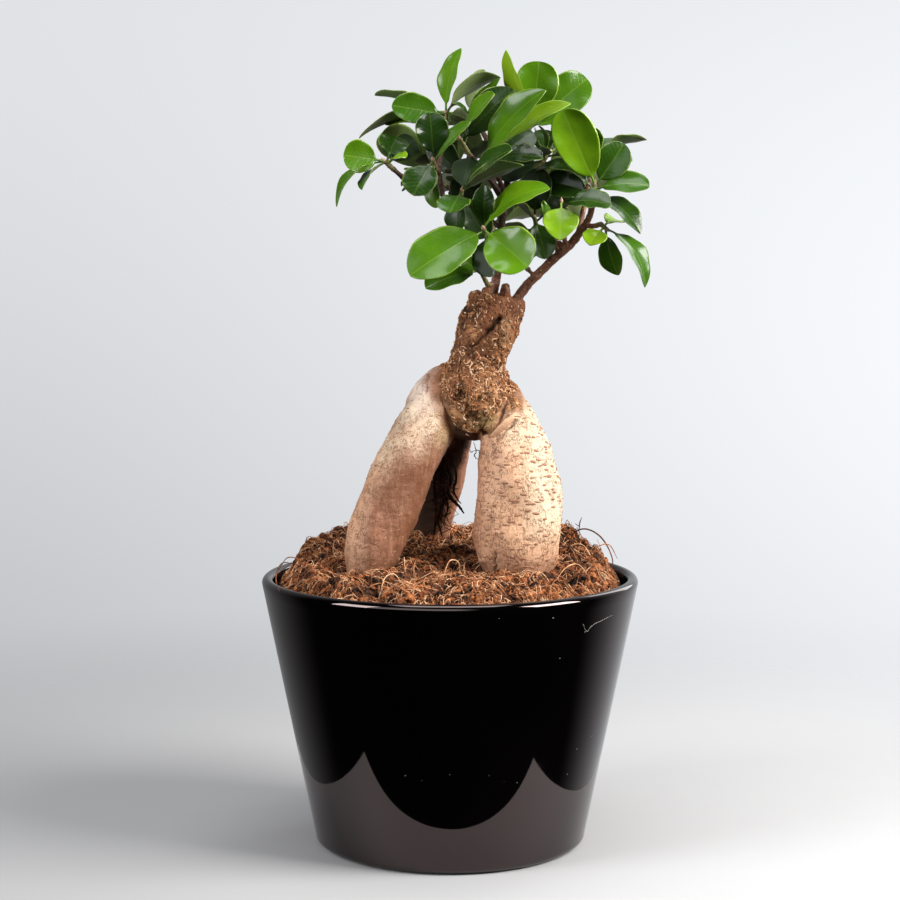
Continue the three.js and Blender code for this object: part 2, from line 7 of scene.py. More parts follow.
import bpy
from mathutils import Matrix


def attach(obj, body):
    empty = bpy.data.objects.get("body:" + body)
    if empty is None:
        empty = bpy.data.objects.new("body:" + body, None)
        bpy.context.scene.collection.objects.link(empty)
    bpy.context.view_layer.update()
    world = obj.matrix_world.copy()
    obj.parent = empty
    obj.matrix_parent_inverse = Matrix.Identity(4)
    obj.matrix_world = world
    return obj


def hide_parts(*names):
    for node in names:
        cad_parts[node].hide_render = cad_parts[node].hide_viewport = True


bl_info = {
    "name": "Ginseng ficus",
    "version": (1, 0, 0),
    "blender": (4, 5, 0),
    "location": "3D View > Sidebar > Ficus",
    "description": "Builds a potted ginseng ficus with bark, leaves, coir mix and a glazed pot",
    "category": "Object",
}

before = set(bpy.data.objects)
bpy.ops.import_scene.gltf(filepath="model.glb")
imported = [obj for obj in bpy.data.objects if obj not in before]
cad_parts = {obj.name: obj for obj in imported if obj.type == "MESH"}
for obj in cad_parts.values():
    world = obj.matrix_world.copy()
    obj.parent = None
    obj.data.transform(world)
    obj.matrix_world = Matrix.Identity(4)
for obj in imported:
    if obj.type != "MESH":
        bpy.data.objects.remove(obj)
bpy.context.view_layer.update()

import math
import random

import bpy
import numpy as np
from bpy.props import FloatProperty, FloatVectorProperty, IntProperty, PointerProperty
from bpy.types import Operator, Panel, PropertyGroup
from mathutils import Vector, kdtree, noise

MM = 0.001
FULL_TURN = 2 * math.pi
GOLDEN_TURN = 137.5

# Paths and leaves. A station of a root or twig is x, y, z, radius across, radius in depth.
# A leaf is the place of its tip, its width, the way that its upper side faces, its arch, its form
# and its tone, which runs from 0, dark, to 1, yellow-green.

TRUNK = (
    (8.5, -7, 208.5, 6, 6),
    (9, -6, 213, 12, 11),
    (11, -4, 220, 17, 15.5),
    (12.5, -2, 228, 18.5, 17),
    (13, -1, 237, 16.5, 15.5),
    (14, 0, 247, 13.5, 13),
    (17, 0, 257, 14.5, 13.5),
    (20, 0, 266, 15, 13.5),
    (23, 0, 275, 13.5, 12.5),
    (24, 0, 281, 10.5, 10),
)
LEFT_ROOT = (
    (5, 3, 233, 10, 10),
    (-4, 0, 224, 13.5, 13),
    (-13, -5, 213, 15, 15),
    (-21, -12, 199, 15, 15),
    (-27, -15, 186, 15.5, 15),
    (-32, -18, 172, 15.8, 15),
    (-36.5, -20, 160, 15, 14.5),
    (-39, -21, 150, 13.8, 13.5),
    (-41, -22, 138, 11.5, 11.5),
    (-43, -23, 122, 8, 8),
)
RIGHT_ROOT = (
    (19, 1, 238, 8, 9),
    (25, -2, 227, 11.5, 12),
    (30, -7, 216, 14.5, 15),
    (33, -14, 203, 18.5, 17.5),
    (34, -17, 188, 21, 19.5),
    (34.4, -18, 174, 22, 20),
    (34.6, -19, 161, 22, 20),
    (35, -19, 150, 20.5, 18.5),
    (35, -19, 138, 17, 16),
    (35, -19, 120, 10, 10),
)
BACK_ROOT = (
    (7, 4, 238, 9, 9),
    (-1, 10, 232, 15, 14),
    (-5, 15, 224, 18, 16),
    (-5, 22, 208, 17.5, 16),
    (-6, 29, 191, 14.5, 14),
    (-8, 34, 176, 12.8, 13),
    (-10, 38, 162, 11.8, 12),
    (-11, 41, 148, 11, 11),
    (-12, 43, 126, 7.5, 7.5),
)
STUBS = (
    ((27.5, -3, 274, 3.2), (28, -4, 284, 2.6), (28.6, -5, 287, 1.8)),
    ((14, -2, 272, 4.5), (13, -3, 281, 3.6), (12.5, -3, 283.5, 2.2)),
    ((33, 1, 268, 4), (35, 1, 277, 3.4), (35.5, 1, 279.5, 2)),
    ((20, 8, 272, 4), (19, 10, 282, 3.2), (18.6, 11, 285, 2)),
)
CENTRE_LIMB = {
    "leader": (
        (20.5, 1, 269, 2.8), (22, 1, 281, 2.5), (24, 0, 292, 2.3), (25.5, 1, 309, 2.1), (27, 4, 324, 2),
        (29, 6, 338, 1.9), (33, 8, 351, 1.7), (38, 9, 361, 1.5),
    ),
    "left_limb": (
        (25, 0, 304, 1.7), (20, -3, 311, 1.7), (12, -5, 321, 1.7), (3, -6, 325, 1.6), (-5, -6, 328, 1.6),
        (-22, -7, 339, 1.4), (-29, -8, 345, 1.4),
    ),
    "left_riser": (
        (-2.5, -6, 326.5, 1.3), (-5, -5, 339, 1.5), (-5.5, -3, 348, 1.4), (-2.5, -1, 359, 1.4),
        (-2, 0, 366, 1.4),
    ),
    "left_front": ((-5.2, -4, 341, 1.2), (-7, -8, 344.5, 1.4)),
    "knee": ((4, -6, 325, 1.3), (5, -11, 329, 1.4)),
    "low_left": ((24, 0, 288, 1.3), (20, -8, 286.5, 1.5), (19, -14, 287, 1.4)),
    "front_low": ((25, 0.5, 302, 1.3), (22, -9, 306, 1.5), (19, -17, 310, 1.4)),
    "middle": ((28, 5, 331, 1.3), (25, -3, 339, 1.5), (22.5, -9, 344.5, 1.4)),
    "middle_left": ((27.5, 4.5, 327, 1.3), (18, 5, 343, 1.5), (10, 1, 352, 1.4)),
    "inner_left": ((13, -5, 320.5, 1.3), (10, 3, 329, 1.5), (8, 7, 336, 1.4)),
    "inner_right": ((28.5, 5.5, 333, 1.3), (38, 4, 340, 1.5), (44, 3, 345, 1.4)),
    "back_left": ((26, 2.5, 315, 1.4), (12, 16, 326, 1.6), (-2, 25, 337, 1.4)),
    "back_middle": ((27.5, 5, 328, 1.4), (24, 20, 336, 1.6), (20, 31, 344, 1.4)),
    "back_top": ((30, 6.5, 342, 1.3), (22, 17, 355, 1.5), (17, 22, 364, 1.4)),
    "back_low": ((24.8, 0.5, 298, 1.3), (22, 16, 303, 1.5), (20, 26, 309, 1.4)),
}
RIGHT_LIMB = {
    "limb": (
        (27.5, -2, 266, 3.3), (31.5, -3, 275, 3.1), (37.5, -3, 284.5, 2.7), (44.2, -4, 291.5, 2.5),
        (51.8, -6, 299, 2.4), (60, -8, 306.3, 2.4), (64.5, -9, 311.8, 2.3), (68.5, -10, 317.5, 2.1),
    ),
    "head": ((67.8, -10, 317, 1.7), (70, -11, 321, 2), (71.5, -12, 327, 1.7)),
    "outer": ((68, -10.3, 316.3, 1.4), (72, -14, 316, 1.5), (74, -16, 316.5, 1.4)),
    "front": ((59, -8, 305.5, 1.5), (56, -15, 313, 1.5), (54.5, -20, 320, 1.4)),
    "spur": ((43, -4, 290.5, 1.2), (39, -4.5, 294.8, 1.1)),
    "snag": ((57.5, -7.6, 303.5, 1.9), (54.8, -9, 308, 1.6)),
    "inner": ((51, -6, 298.6, 1.3), (46, -3, 308, 1.5), (44.5, -2, 313, 1.4)),
    "right_back": ((64, -9, 311.5, 1.4), (68, 4, 325, 1.6), (71, 9, 340, 1.4)),
    "far_back": ((54.5, -6.7, 301.5, 1.5), (54, 12, 315, 1.5), (56, 24, 327, 1.5)),
}
SHOOTS = {
    "shoot_far_left": (CENTRE_LIMB, "left_limb", (-33, -9, 348.5), (
        (-53, -16, 351, 17, 0, -4, 1, 0.03, "round", 0.55),
        (-57, -14, 326, 12, -2, -1, 3, 0.2, "slim", 0.5),
        (-44, -21, 334, 12, -3, -1, 2, 0.1, "slim", 0.35),
        (-27, -4, 361, 16, 0, -4, 1, 0.03, "round", 0.25),
        (-22, -18, 350, 10, 0, -2, 3, 0.1, "oval", 0.8),
        (-18, 8, 360, 14, 1, -3, 1, 0.03, "oval", 0.15),
    )),
    "shoot_left_top": (CENTRE_LIMB, "left_riser", (-2, 0, 373), (
        (5.5, 0, 405, 16, -3, -2, 0, 0.08, "slim", 0.68),
        (25, 12, 392, 16, -3, 3, 5, 0.12, "slim", 0.3),
        (-29, -8, 376, 16, 0, -4, 1, 0.03, "oval", 0.42),
        (-38, 8, 383, 14, 0, 1, 4, 0.06, "oval", 0.45),
        (-33, 5, 368, 15, 0, -2, 3, 0.05, "round", 0.9),
        (-46, -2, 361, 14, 0, 1, 4, 0.12, "slim", 0.25),
        (9, -6, 372, 7, 1, -1, 4, 0.5, "slim", 0.15),
    )),
    "shoot_left_front": (CENTRE_LIMB, "left_front", (-8.5, -12, 349), (
        (-18, -24, 331.5, 18, -1, -4, 1, 0.03, "round", 0.1),
        (-10, -14, 372, 17, 1, -5, 0, 0.03, "round", 0.04),
        (10, -22, 367, 14, -3, -2, 3, 0.04, "slim", 0.5),
        (-7, -14, 325, 10, -2, -2, 1, 0.08, "oval", 0.7),
    )),
    "shoot_knee": (CENTRE_LIMB, "knee", (6, -15, 334), (
        (30, -38, 353, 18, -2, -2, 3, 0.06, "oval", 0.12),
        (36, -30, 346, 17, 0, 1, 3, 0.06, "slim", 0.06),
        (0, -31, 322.5, 17, 0, -2, 3, 0.03, "round", 0.27),
        (3, -14, 313, 13, -2, -3, 1, 0.06, "oval", 0.15),
        (10, -7, 350, 15, -1, -3, 1, 0.04, "oval", 0.03),
    )),
    "shoot_front_low": (CENTRE_LIMB, "front_low", (16.5, -24, 315), (
        (49, -30, 334.5, 20, -1, -2, 3, 0.14, "oval", 0.72),
        (38, -38, 296, 26, 0, -4, 1, 0.04, "round", 0.64),
        (-19.5, -38, 292, 26, -1, -4, 2, 0.05, "oval", 0.5),
        (20, -30, 291, 16, -1, -4, 0, 0.05, "oval", 0.27),
        (17, -25, 336, 12, -1, -3, 1, 0.04, "oval", 0.05),
    )),
    "shoot_low_left": (CENTRE_LIMB, "low_left", (15, -20, 294), (
        (-12, -32, 285.5, 17, -1, -3, 3, 0.06, "oval", 0.38),
        (7, -13, 299, 9, -1, -2, 2, 0.08, "oval", 0.5),
    )),
    "shoot_middle_left": (CENTRE_LIMB, "middle_left", (5, -4, 360), (
        (22, -18, 381, 16, -3, -2, 3, 0.05, "oval", 0.56),
        (32, -4, 384, 19, -1, -3, 1, 0.08, "oval", 0.02),
        (25, 7, 391, 13, -3, -2, 3, 0.06, "slim", 0.55),
    )),
    "shoot_middle": (CENTRE_LIMB, "middle", (17, -12, 350), (
        (46, -34, 382, 21, -3, -3, 2, 0.08, "slim", 0.52),
        (59, -28, 376, 19, -2, -2, 3, 0.08, "slim", 0.88),
        (46, -20, 350, 18, 0, -2, 3, 0.06, "oval", 0.03),
        (42, -5, 363, 17, 0, -3, 2, 0.05, "oval", 0.02),
    )),
    "shoot_top": (CENTRE_LIMB, "leader", (43, 10, 370), (
        (28, 0, 404, 15, -3, -2, 0, 0.05, "slim", 1.0),
        (45, 6, 399, 22, 0, -5, 0, 0.03, "round", 0.6),
        (70, 15, 391, 21, 1, -4, 1, 0.05, "round", 0.5),
        (60, -6, 368, 15, 0, -2, 3, 0.05, "oval", 0.5),
        (44, 36, 388, 18, 0, -1, 3, 0.08, "oval", 0.4),
        (66, 28, 376, 19, 1, -1, 3, 0.08, "round", 0.45),
    )),
    "shoot_right_head": (RIGHT_LIMB, "head", (72.5, -12, 337), (
        (56, -18, 373, 22, 0, -5, 0, 0.04, "round", 0.75),
        (87, -12, 357, 17, 0, -4, 0, 0.05, "oval", 0.22),
        (99, -20, 336, 15, 0, -3, 3, 0.08, "round", 0.38),
        (43, -8, 344, 19, 0, -1, 3, 0.2, "oval", 0.05),
        (94.5, -24, 312.5, 15, 1, -2, 3, 0.12, "slim", 0.13),
    )),
    "shoot_right_outer": (RIGHT_LIMB, "outer", (78, -19, 314.5), (
        (97, -26, 286, 15, 2, -2, 2, 0.18, "slim", 0.44),
        (84, -18, 291.5, 13, -2, -3, 0, 0.08, "slim", 0.33),
        (69, -30, 307, 13, -1, -3, 1, 0.04, "oval", 0.85),
        (86, -2, 319, 12, 0, -2, 3, 0.08, "round", 0.85),
    )),
    "shoot_right_front": (RIGHT_LIMB, "front", (55, -23, 328), (
        (54, -36, 309.5, 18, 0, -4, 1, 0.06, "slim", 0.82),
        (79, -30, 326, 18, 0, -2, 3, 0.1, "round", 0.08),
        (46, -24, 322, 12, -1, -3, 1, 0.04, "oval", 0.6),
    )),
    "shoot_right_inner": (RIGHT_LIMB, "inner", (42.5, -3, 321), (
        (48, -12, 300, 14, 1, -4, 0, 0.04, "oval", 0.25),
        (45, -6, 345, 17, -1, -3, 1, 0.05, "oval", 0.08),
        (27, -14, 331, 15, 0, -1, 3, 0.05, "oval", 0.05),
        (62, 0, 331, 15, 0, -2, 3, 0.05, "oval", 0.05),
        (33, -12, 304, 13, -1, -3, 1, 0.04, "oval", 0.1),
    )),
    "shoot_spur": (RIGHT_LIMB, "spur", (38, -5, 298.5), (
        (34, -9, 305, 5, -1, -3, 1, 0.05, "oval", 0.5),
        (42, -9, 304, 5, 1, -3, 1, 0.05, "oval", 0.5),
    )),
    "shoot_right_back": (RIGHT_LIMB, "right_back", (73, 10, 350), (
        (100, 8, 360, 15, 0, 1, 4, 0.1, "slim", 0.35),
        (71, 2, 366, 12, 0, -3, 1, 0.05, "oval", 0.3),
        (92, 2, 350, 15, 0, -2, 3, 0.06, "oval", 0.3),
        (86, 34, 362, 18, 0, 1, 4, 0.08, "oval", 0.4),
        (64, 34, 370, 17, 0, 1, 4, 0.1, "round", 0.4),
    )),
}
# Shoots whose leaves follow a spiral: the twig, the bud, the number of leaves, their reach and the first turn
SPIRAL_SHOOTS = {
    "shoot_inner_left": (CENTRE_LIMB, "inner_left", (5, 10, 345), 6, 26, 280),
    "shoot_inner_right": (CENTRE_LIMB, "inner_right", (50, 3, 353), 6, 28, 60),
    "shoot_back_left": (CENTRE_LIMB, "back_left", (-10, 30, 346), 7, 36, 100),
    "shoot_back_middle": (CENTRE_LIMB, "back_middle", (19, 39, 352), 6, 34, 40),
    "shoot_back_top": (CENTRE_LIMB, "back_top", (11, 29, 371), 6, 27, 30),
    "shoot_back_low": (CENTRE_LIMB, "back_low", (24, 33, 318), 6, 30, 20),
    "shoot_back_right": (RIGHT_LIMB, "far_back", (55, 35, 335), 7, 33, 310),
}

# Leaves deeper in the crown, in the same order of numbers as a shoot's leaves.
DEEP_LEAVES = {
    "shoot_inner_right": (
        (23.3, 5.9, 342.8, 15, 0, -4, 1, 0.05, "oval", 0.08),
        (47.5, 11.9, 365.2, 12, 0, -4, 1, 0.05, "oval", 0.1),
    ),
    "shoot_inner_left": ((-11.3, -0.2, 358.6, 15, 0, -4, 1, 0.05, "oval", 0.1),),
    "shoot_middle": ((2.1, 4, 329.9, 15, 0, -4, 1, 0.05, "oval", 0.08),),
    "shoot_knee": ((18.1, -10.6, 310.2, 15, 0, -4, 1, 0.05, "oval", 0.12),),
    "shoot_right_head": ((48, -3.2, 338.9, 15, 0, -4, 1, 0.05, "oval", 0.1),),
}


# Smooth paths, rings and closed meshes


def unit(v):
    return np.asarray(v, float) / max(np.linalg.norm(v), 1e-9)


def smoothstep(x, low, high):
    t = np.clip((np.asarray(x, float) - low) / (high - low), 0, 1)
    return t * t * (3 - 2 * t)


def smooth_path(points, steps):
    """Points and directions along a curve through the given points, closer together where they are."""
    pts = np.array(points, float)
    ext = np.vstack([2 * pts[0] - pts[1], pts, 2 * pts[-1] - pts[-2]])
    places, ways = [], []
    for i in range(len(pts) - 1):
        p0, p1, p2, p3 = ext[i : i + 4]
        d0, d1, d2 = (max(np.linalg.norm(b - a) ** 0.5, 1e-4) for a, b in ((p0, p1), (p1, p2), (p2, p3)))
        m1 = ((p1 - p0) / d0 - (p2 - p0) / (d0 + d1) + (p2 - p1) / d1) * d1
        m2 = ((p2 - p1) / d1 - (p3 - p1) / (d1 + d2) + (p3 - p2) / d2) * d1
        for k in range(steps + (i == len(pts) - 2)):
            t = k / steps
            place = (2 * t**3 - 3 * t**2 + 1) * p1 + (t**3 - 2 * t**2 + t) * m1
            places.append(place + (3 * t**2 - 2 * t**3) * p2 + (t**3 - t**2) * m2)
            way = (6 * t**2 - 6 * t) * (p1 - p2) + (3 * t**2 - 4 * t + 1) * m1 + (3 * t**2 - 2 * t) * m2
            ways.append(unit(way))
    return np.array(places), np.array(ways)


def stem_rings(stations, sides, steps, ripple=None):
    """Rings round a path. A station is x, y, z, radius across and, if it differs, radius in depth."""
    sizes = np.array([(s[3], s[4] if len(s) > 4 else s[3]) for s in stations], float)
    places, ways = smooth_path([s[:3] for s in stations], steps)
    at = np.linspace(0, len(stations) - 1, len(places))
    wide = np.interp(at, range(len(stations)), sizes[:, 0])
    deep = np.interp(at, range(len(stations)), sizes[:, 1])
    turns = np.linspace(0, FULL_TURN, sides, endpoint=False)
    rings = []
    for place, way, w, d in zip(places, ways, wide, deep):
        across = np.array((0.0, 1.0, 0.0) if abs(way[0]) > 0.9 else (1.0, 0.0, 0.0))
        across = unit(across - way * across.dot(way))
        depth = np.cross(way, across)
        swell = np.ones(sides) if ripple is None else ripple(turns, place)
        flat = place + np.outer(swell * w * np.cos(turns), across)
        rings.append(flat + np.outer(swell * d * np.sin(turns), depth))
    return rings


class Shell:
    """Points and faces of closed bodies, with one number a point for each named attribute."""

    def __init__(self):
        self.points, self.faces, self.values = [], [], {}
        self.smooth = True

    def add(self, points, faces, **values):
        start = sum(len(p) for p in self.points)
        points = np.asarray(points, float)
        self.points.append(points)
        self.faces.extend([[start + v for v in face] for face in faces])
        for name, value in values.items():
            self.values.setdefault(name, []).append(np.broadcast_to(value, (len(points),)).astype(float))

    def add_rings(self, rings, **values):
        """A closed body through rings of equal length, with a lid at each end."""
        n = len(rings[0])
        faces = []
        for i in range(len(rings) - 1):
            for k in range(n):
                a, b = i * n + k, i * n + (k + 1) % n
                faces.append((a, b, b + n, a + n))
        faces.append(tuple(range(n - 1, -1, -1)))
        last = (len(rings) - 1) * n
        faces.append(tuple(range(last, last + n)))
        self.add(np.vstack(rings), faces, **values)

    def object(self, name):
        mesh = bpy.data.meshes.new(name)
        points = np.vstack(self.points) * MM
        mesh.from_pydata(points.tolist(), [], self.faces)
        for key, parts in self.values.items():
            mesh.attributes.new(key, "FLOAT", "POINT").data.foreach_set("value", np.concatenate(parts))
        if self.smooth:
            mesh.shade_smooth()
        mesh.update()
        made = bpy.data.objects.new(name, mesh)
        bpy.context.scene.collection.objects.link(made)
        return made


def settle(piece, material, slot, *nodes):
    """Gives a finished piece its material and its place on the plant, and hides the solids that it stands
    for.
    """
    piece.data.materials.clear()
    piece.data.materials.append(material)
    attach(piece, "root")
    if nodes:
        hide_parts(*nodes)
    return piece


def weld(piece, voxel, rounds):
    """Joins the bodies of a piece into one skin of even faces and smooths it a little."""
    remesh = piece.modifiers.new("weld", "REMESH")
    remesh.mode = "VOXEL"
    remesh.voxel_size = voxel * MM
    soften = piece.modifiers.new("soften", "SMOOTH")
    soften.factor = 0.5
    soften.iterations = rounds
    bpy.context.view_layer.update()
    done = bpy.data.meshes.new_from_object(piece.evaluated_get(bpy.context.evaluated_depsgraph_get()))
    piece.modifiers.clear()
    old = piece.data
    piece.data = done
    bpy.data.meshes.remove(old)
    done.name = piece.name
    done.shade_smooth()
    return piece


def read_points(mesh):
    """Points and normals of a mesh, in millimetres."""
    points = np.zeros(len(mesh.vertices) * 3)
    normals = np.zeros(len(mesh.vertices) * 3)
    mesh.vertices.foreach_get("co", points)
    mesh.vertices.foreach_get("normal", normals)
    return points.reshape(-1, 3) / MM, normals.reshape(-1, 3)


def write_points(mesh, points):
    """Moves the points of a mesh to places in millimetres."""
    mesh.vertices.foreach_set("co", (points * MM).ravel())
    mesh.update()


def paint(mesh, name, values):
    """Stores one number a point, which the materials read by name."""
    mesh.attributes.new(name, "FLOAT", "POINT").data.foreach_set("value", np.asarray(values, float))


def grain(points, size, seed=0.0, octaves=3):
    """Smooth noise from about -1 to 1 at each point, for grains of the given size."""
    offset = Vector((seed * 7.3, seed * 3.1, seed * 5.7))
    return np.array([noise.fractal(Vector(p) / size + offset, 1.0, 2.0, octaves) for p in points])


# Shader nodes


class Nodes:
    """A short way to place and join shader nodes in a material or a group."""

    def __init__(self, tree):
        self.tree = tree
        self.column = 0

    def put(self, kind, settings=None, **inputs):
        node = self.tree.nodes.new(kind)
        self.column += 1
        node.location = (180 * self.column - 2400, -60 * (self.column % 5))
        for key, value in (settings or {}).items():
            setattr(node, key, value)
        for key, value in inputs.items():
            self.set(node.inputs[key.replace("_", " ")], value)
        return node

    def set(self, socket, value):
        if isinstance(value, bpy.types.NodeSocket):
            self.tree.links.new(value, socket)
        else:
            socket.default_value = value

    def math(self, operation, a, b=0.0, c=0.0):
        node = self.put("ShaderNodeMath", {"operation": operation})
        for socket, value in zip(node.inputs, (a, b, c)):
            self.set(socket, value)
        return node.outputs[0]

    def times(self, a, b):
        return self.math("MULTIPLY", a, b)

    def minus(self, a, b):
        return self.math("SUBTRACT", a, b)

    def scaled(self, a, factor, add):
        return self.math("MULTIPLY_ADD", a, factor, add)

    def mix(self, factor, a, b):
        node = self.put("ShaderNodeMix", {"data_type": "RGBA"})
        for index, value in ((0, factor), (6, a), (7, b)):
            self.set(node.inputs[index], value)
        return node.outputs[2]

    def veil(self, under, mask, share, colour):
        """A colour laid over another where the mask is, in the given share."""
        return self.mix(self.times(mask, share), under, rgb(colour))

    def band(self, value, low, high, smooth=True):
        """0 below low and 1 above high."""
        kind = "SMOOTHSTEP" if smooth else "LINEAR"
        node = self.put("ShaderNodeMapRange", {"interpolation_type": kind})
        for index, one in ((0, value), (1, low), (2, high)):
            self.set(node.inputs[index], one)
        return node.outputs[0]

    def ramp(self, value, stops):
        node = self.put("ShaderNodeValToRGB")
        self.set(node.inputs[0], value)
        elements = node.color_ramp.elements
        while len(elements) < len(stops):
            elements.new(0.5)
        for element, (place, colour) in zip(elements, stops):
            element.position = place
            element.color = rgb(colour)
        return node.outputs[0]

    def attribute(self, name):
        return self.put("ShaderNodeAttribute", {"attribute_name": name}).outputs["Fac"]

    def noise(self, vector, scale, detail=3.0, roughness=0.55):
        made = self.put("ShaderNodeTexNoise", Scale=scale, Detail=detail, Roughness=roughness)
        self.set(made.inputs["Vector"], vector)
        return made.outputs[0]

    def cells(self, vector, scale):
        """The distance to the nearest of many scattered points, and two random numbers of that point."""
        made = self.put("ShaderNodeTexVoronoi", {"feature": "F1"}, Vector=vector, Scale=scale)
        chances = self.put("ShaderNodeSeparateColor", Color=made.outputs["Color"]).outputs
        return made.outputs["Distance"], chances[0], chances[1]

    def stretch(self, vector, x, y, z):
        return self.put("ShaderNodeMapping", Vector=vector, Scale=(x, y, z)).outputs[0]

    def place(self):
        return self.put("ShaderNodeTexCoord").outputs["Object"]

    def bump(self, height, strength, distance):
        return self.put("ShaderNodeBump", Height=height, Strength=strength, Distance=distance).outputs[0]


def rgb(colour):
    return (*tuple(colour)[:3], 1.0)


def surface(name, build, **fixed):
    """A material with one shader. build joins what varies, and fixed numbers stay on the shader's sockets."""
    material = bpy.data.materials.new(name)
    material.use_nodes = True
    nodes = Nodes(material.node_tree)
    shader = material.node_tree.nodes["Principled BSDF"]
    for key, value in fixed.items():
        shader.inputs[key.replace("_", " ")].default_value = value
    for key, value in build(nodes).items():
        nodes.set(shader.inputs[key.replace("_", " ")], value)
    return material


def plain_finish(nodes, colour, fine, rough, strength, distance=0.0003):
    """A colour with gloss and relief that both vary with one fine grain."""
    return {
        "Base_Color": colour,
        "Roughness": nodes.scaled(fine, 0.2, rough),
        "Normal": nodes.bump(fine, strength, distance),
    }


def effect(name, inputs, outputs, build):
    """A node group with named inputs and outputs, made once and used by several materials."""
    if name in bpy.data.node_groups:
        return bpy.data.node_groups[name]
    group = bpy.data.node_groups.new(name, "ShaderNodeTree")
    kinds = {"value": "NodeSocketFloat", "colour": "NodeSocketColor", "vector": "NodeSocketVector"}
    for key, (kind, default) in inputs.items():
        socket = group.interface.new_socket(key, in_out="INPUT", socket_type=kinds[kind])
        if default is not None:
            socket.default_value = default
    for key, kind in outputs.items():
        group.interface.new_socket(key, in_out="OUTPUT", socket_type=kinds[kind])
    nodes = Nodes(group)
    given = nodes.put("NodeGroupInput")
    out = nodes.put("NodeGroupOutput")
    for key, value in build(nodes, given.outputs).items():
        nodes.set(out.inputs[key], value)
    return group


def use(nodes, group, **values):
    node = nodes.put("ShaderNodeGroup", {"node_tree": group})
    for key, value in values.items():
        nodes.set(node.inputs[key.replace("_", " ")], value)
    return node.outputs


def mottle_effect():
    """Two tones in soft patches with a finer grain in them."""

    def build(nodes, given):
        patches = nodes.noise(given["Vector"], given["Scale"], 4.0, 0.6)
        fine = nodes.noise(given["Vector"], nodes.times(given["Scale"], 7.0), 3.0, 0.6)
        both = nodes.scaled(fine, 0.45, nodes.times(patches, 0.75))
        return {"Colour": nodes.mix(nodes.band(both, 0.42, 0.78), given["Dark"], given["Light"])}

    return effect(
        "Mottle",
        {
            "Vector": ("vector", None),
            "Scale": ("value", 60.0),
            "Dark": ("colour", (0.2, 0.1, 0.05, 1)),
            "Light": ("colour", (0.5, 0.3, 0.2, 1)),
        },
        {"Colour": "colour"},
        build,
    )


def mottled(nodes, vector, scale, dark, light):
    shades = {"Dark": rgb(dark), "Light": rgb(light)}
    return use(nodes, mottle_effect(), Vector=vector, Scale=scale, **shades)["Colour"]


def dash_effect():
    """Short marks that lie across the growth, like the breathing pores of young bark."""

    def build(nodes, given):
        distance, size, chance = nodes.cells(given["Vector"], given["Scale"])
        kept = nodes.math("GREATER_THAN", chance, nodes.minus(1.0, given["Share"]))
        near = nodes.minus(nodes.scaled(size, 0.22, 0.06), distance)
        return {"Mask": nodes.times(nodes.band(near, -0.02, 0.05), kept)}

    return effect(
        "Dashes",
        {"Vector": ("vector", None), "Scale": ("value", 200.0), "Share": ("value", 0.5)},
        {"Mask": "value"},
        build,
    )


def dashed(nodes, vector, scale, share):
    return use(nodes, dash_effect(), Vector=vector, Scale=scale, Share=share)["Mask"]


# Pot

POT_FOOT_RADIUS = 69.2
POT_TAPER = 0.202
POT_WALL = 6
POT_FLOOR = 8
FOOT_ROUND = 4
RIM_ROUND = 3
RIM_MIDDLE = 135
WALL_TOP = 131


def pot_radius(z):
    """Outer radius of the pot at a height."""
    return POT_FOOT_RADIUS + POT_TAPER * z


def arc(centre, radius, start, end, steps):
    """Points of a rounded corner in the pot's profile, as radius and height, between two angles."""
    turns = np.radians(np.linspace(start, end, steps))
    return [(centre[0] + radius * math.cos(t), centre[1] + radius * math.sin(t)) for t in turns]


def build_pot(look):
    """The turned pot, a little out of round as a thrown one is, with the hairs and dust that cling to it."""
    foot = pot_radius(FOOT_ROUND) - FOOT_ROUND
    rim = pot_radius(RIM_MIDDLE) - RIM_ROUND
    inside = POT_FLOOR + FOOT_ROUND
    corner = pot_radius(inside) - POT_WALL - FOOT_ROUND
    profile = [(1.0, 0.0), (30.0, 0.0), (foot - 3, 0.0)]
    profile += arc((foot, FOOT_ROUND), FOOT_ROUND, -90, 0, 7)
    profile += [(pot_radius(z), z) for z in np.linspace(POT_FLOOR, WALL_TOP, 26)]
    profile += arc((rim, RIM_MIDDLE), RIM_ROUND, 0, 180, 13)
    profile += [(pot_radius(z) - POT_WALL, z) for z in np.linspace(WALL_TOP, inside, 14)]
    profile += arc((corner, inside), FOOT_ROUND, 0, -90, 6)
    profile += [(30.0, POT_FLOOR), (1.0, POT_FLOOR)]
    sides = 168
    turns = np.linspace(0, FULL_TURN, sides, endpoint=False)
    rings = []
    for radius, height in profile:
        wobble = 0.10 * np.sin(3 * turns + height / 38) + 0.07 * np.sin(5 * turns - height / 23 + 1)
        wide = radius + wobble * smoothstep(radius, 40, 60)
        rings.append(np.stack((wide * np.cos(turns), wide * np.sin(turns), np.full(sides, height)), 1))
    shell = Shell()
    shell.add_rings(rings)
    settle(shell.object("glazed_pot"), glaze(look), "glaze", "pot")
    hair = Shell()
    for line, radius in POT_HAIRS:
        places = [(x, -math.sqrt((pot_radius(z) + radius * 0.9) ** 2 - x * x), z) for x, z in line]
        fibre(hair, smooth_path(places, 5)[0], radius, 0.0, 6)
    settle(hair.object("hair_on_pot"), hair_skin(look), "glaze")


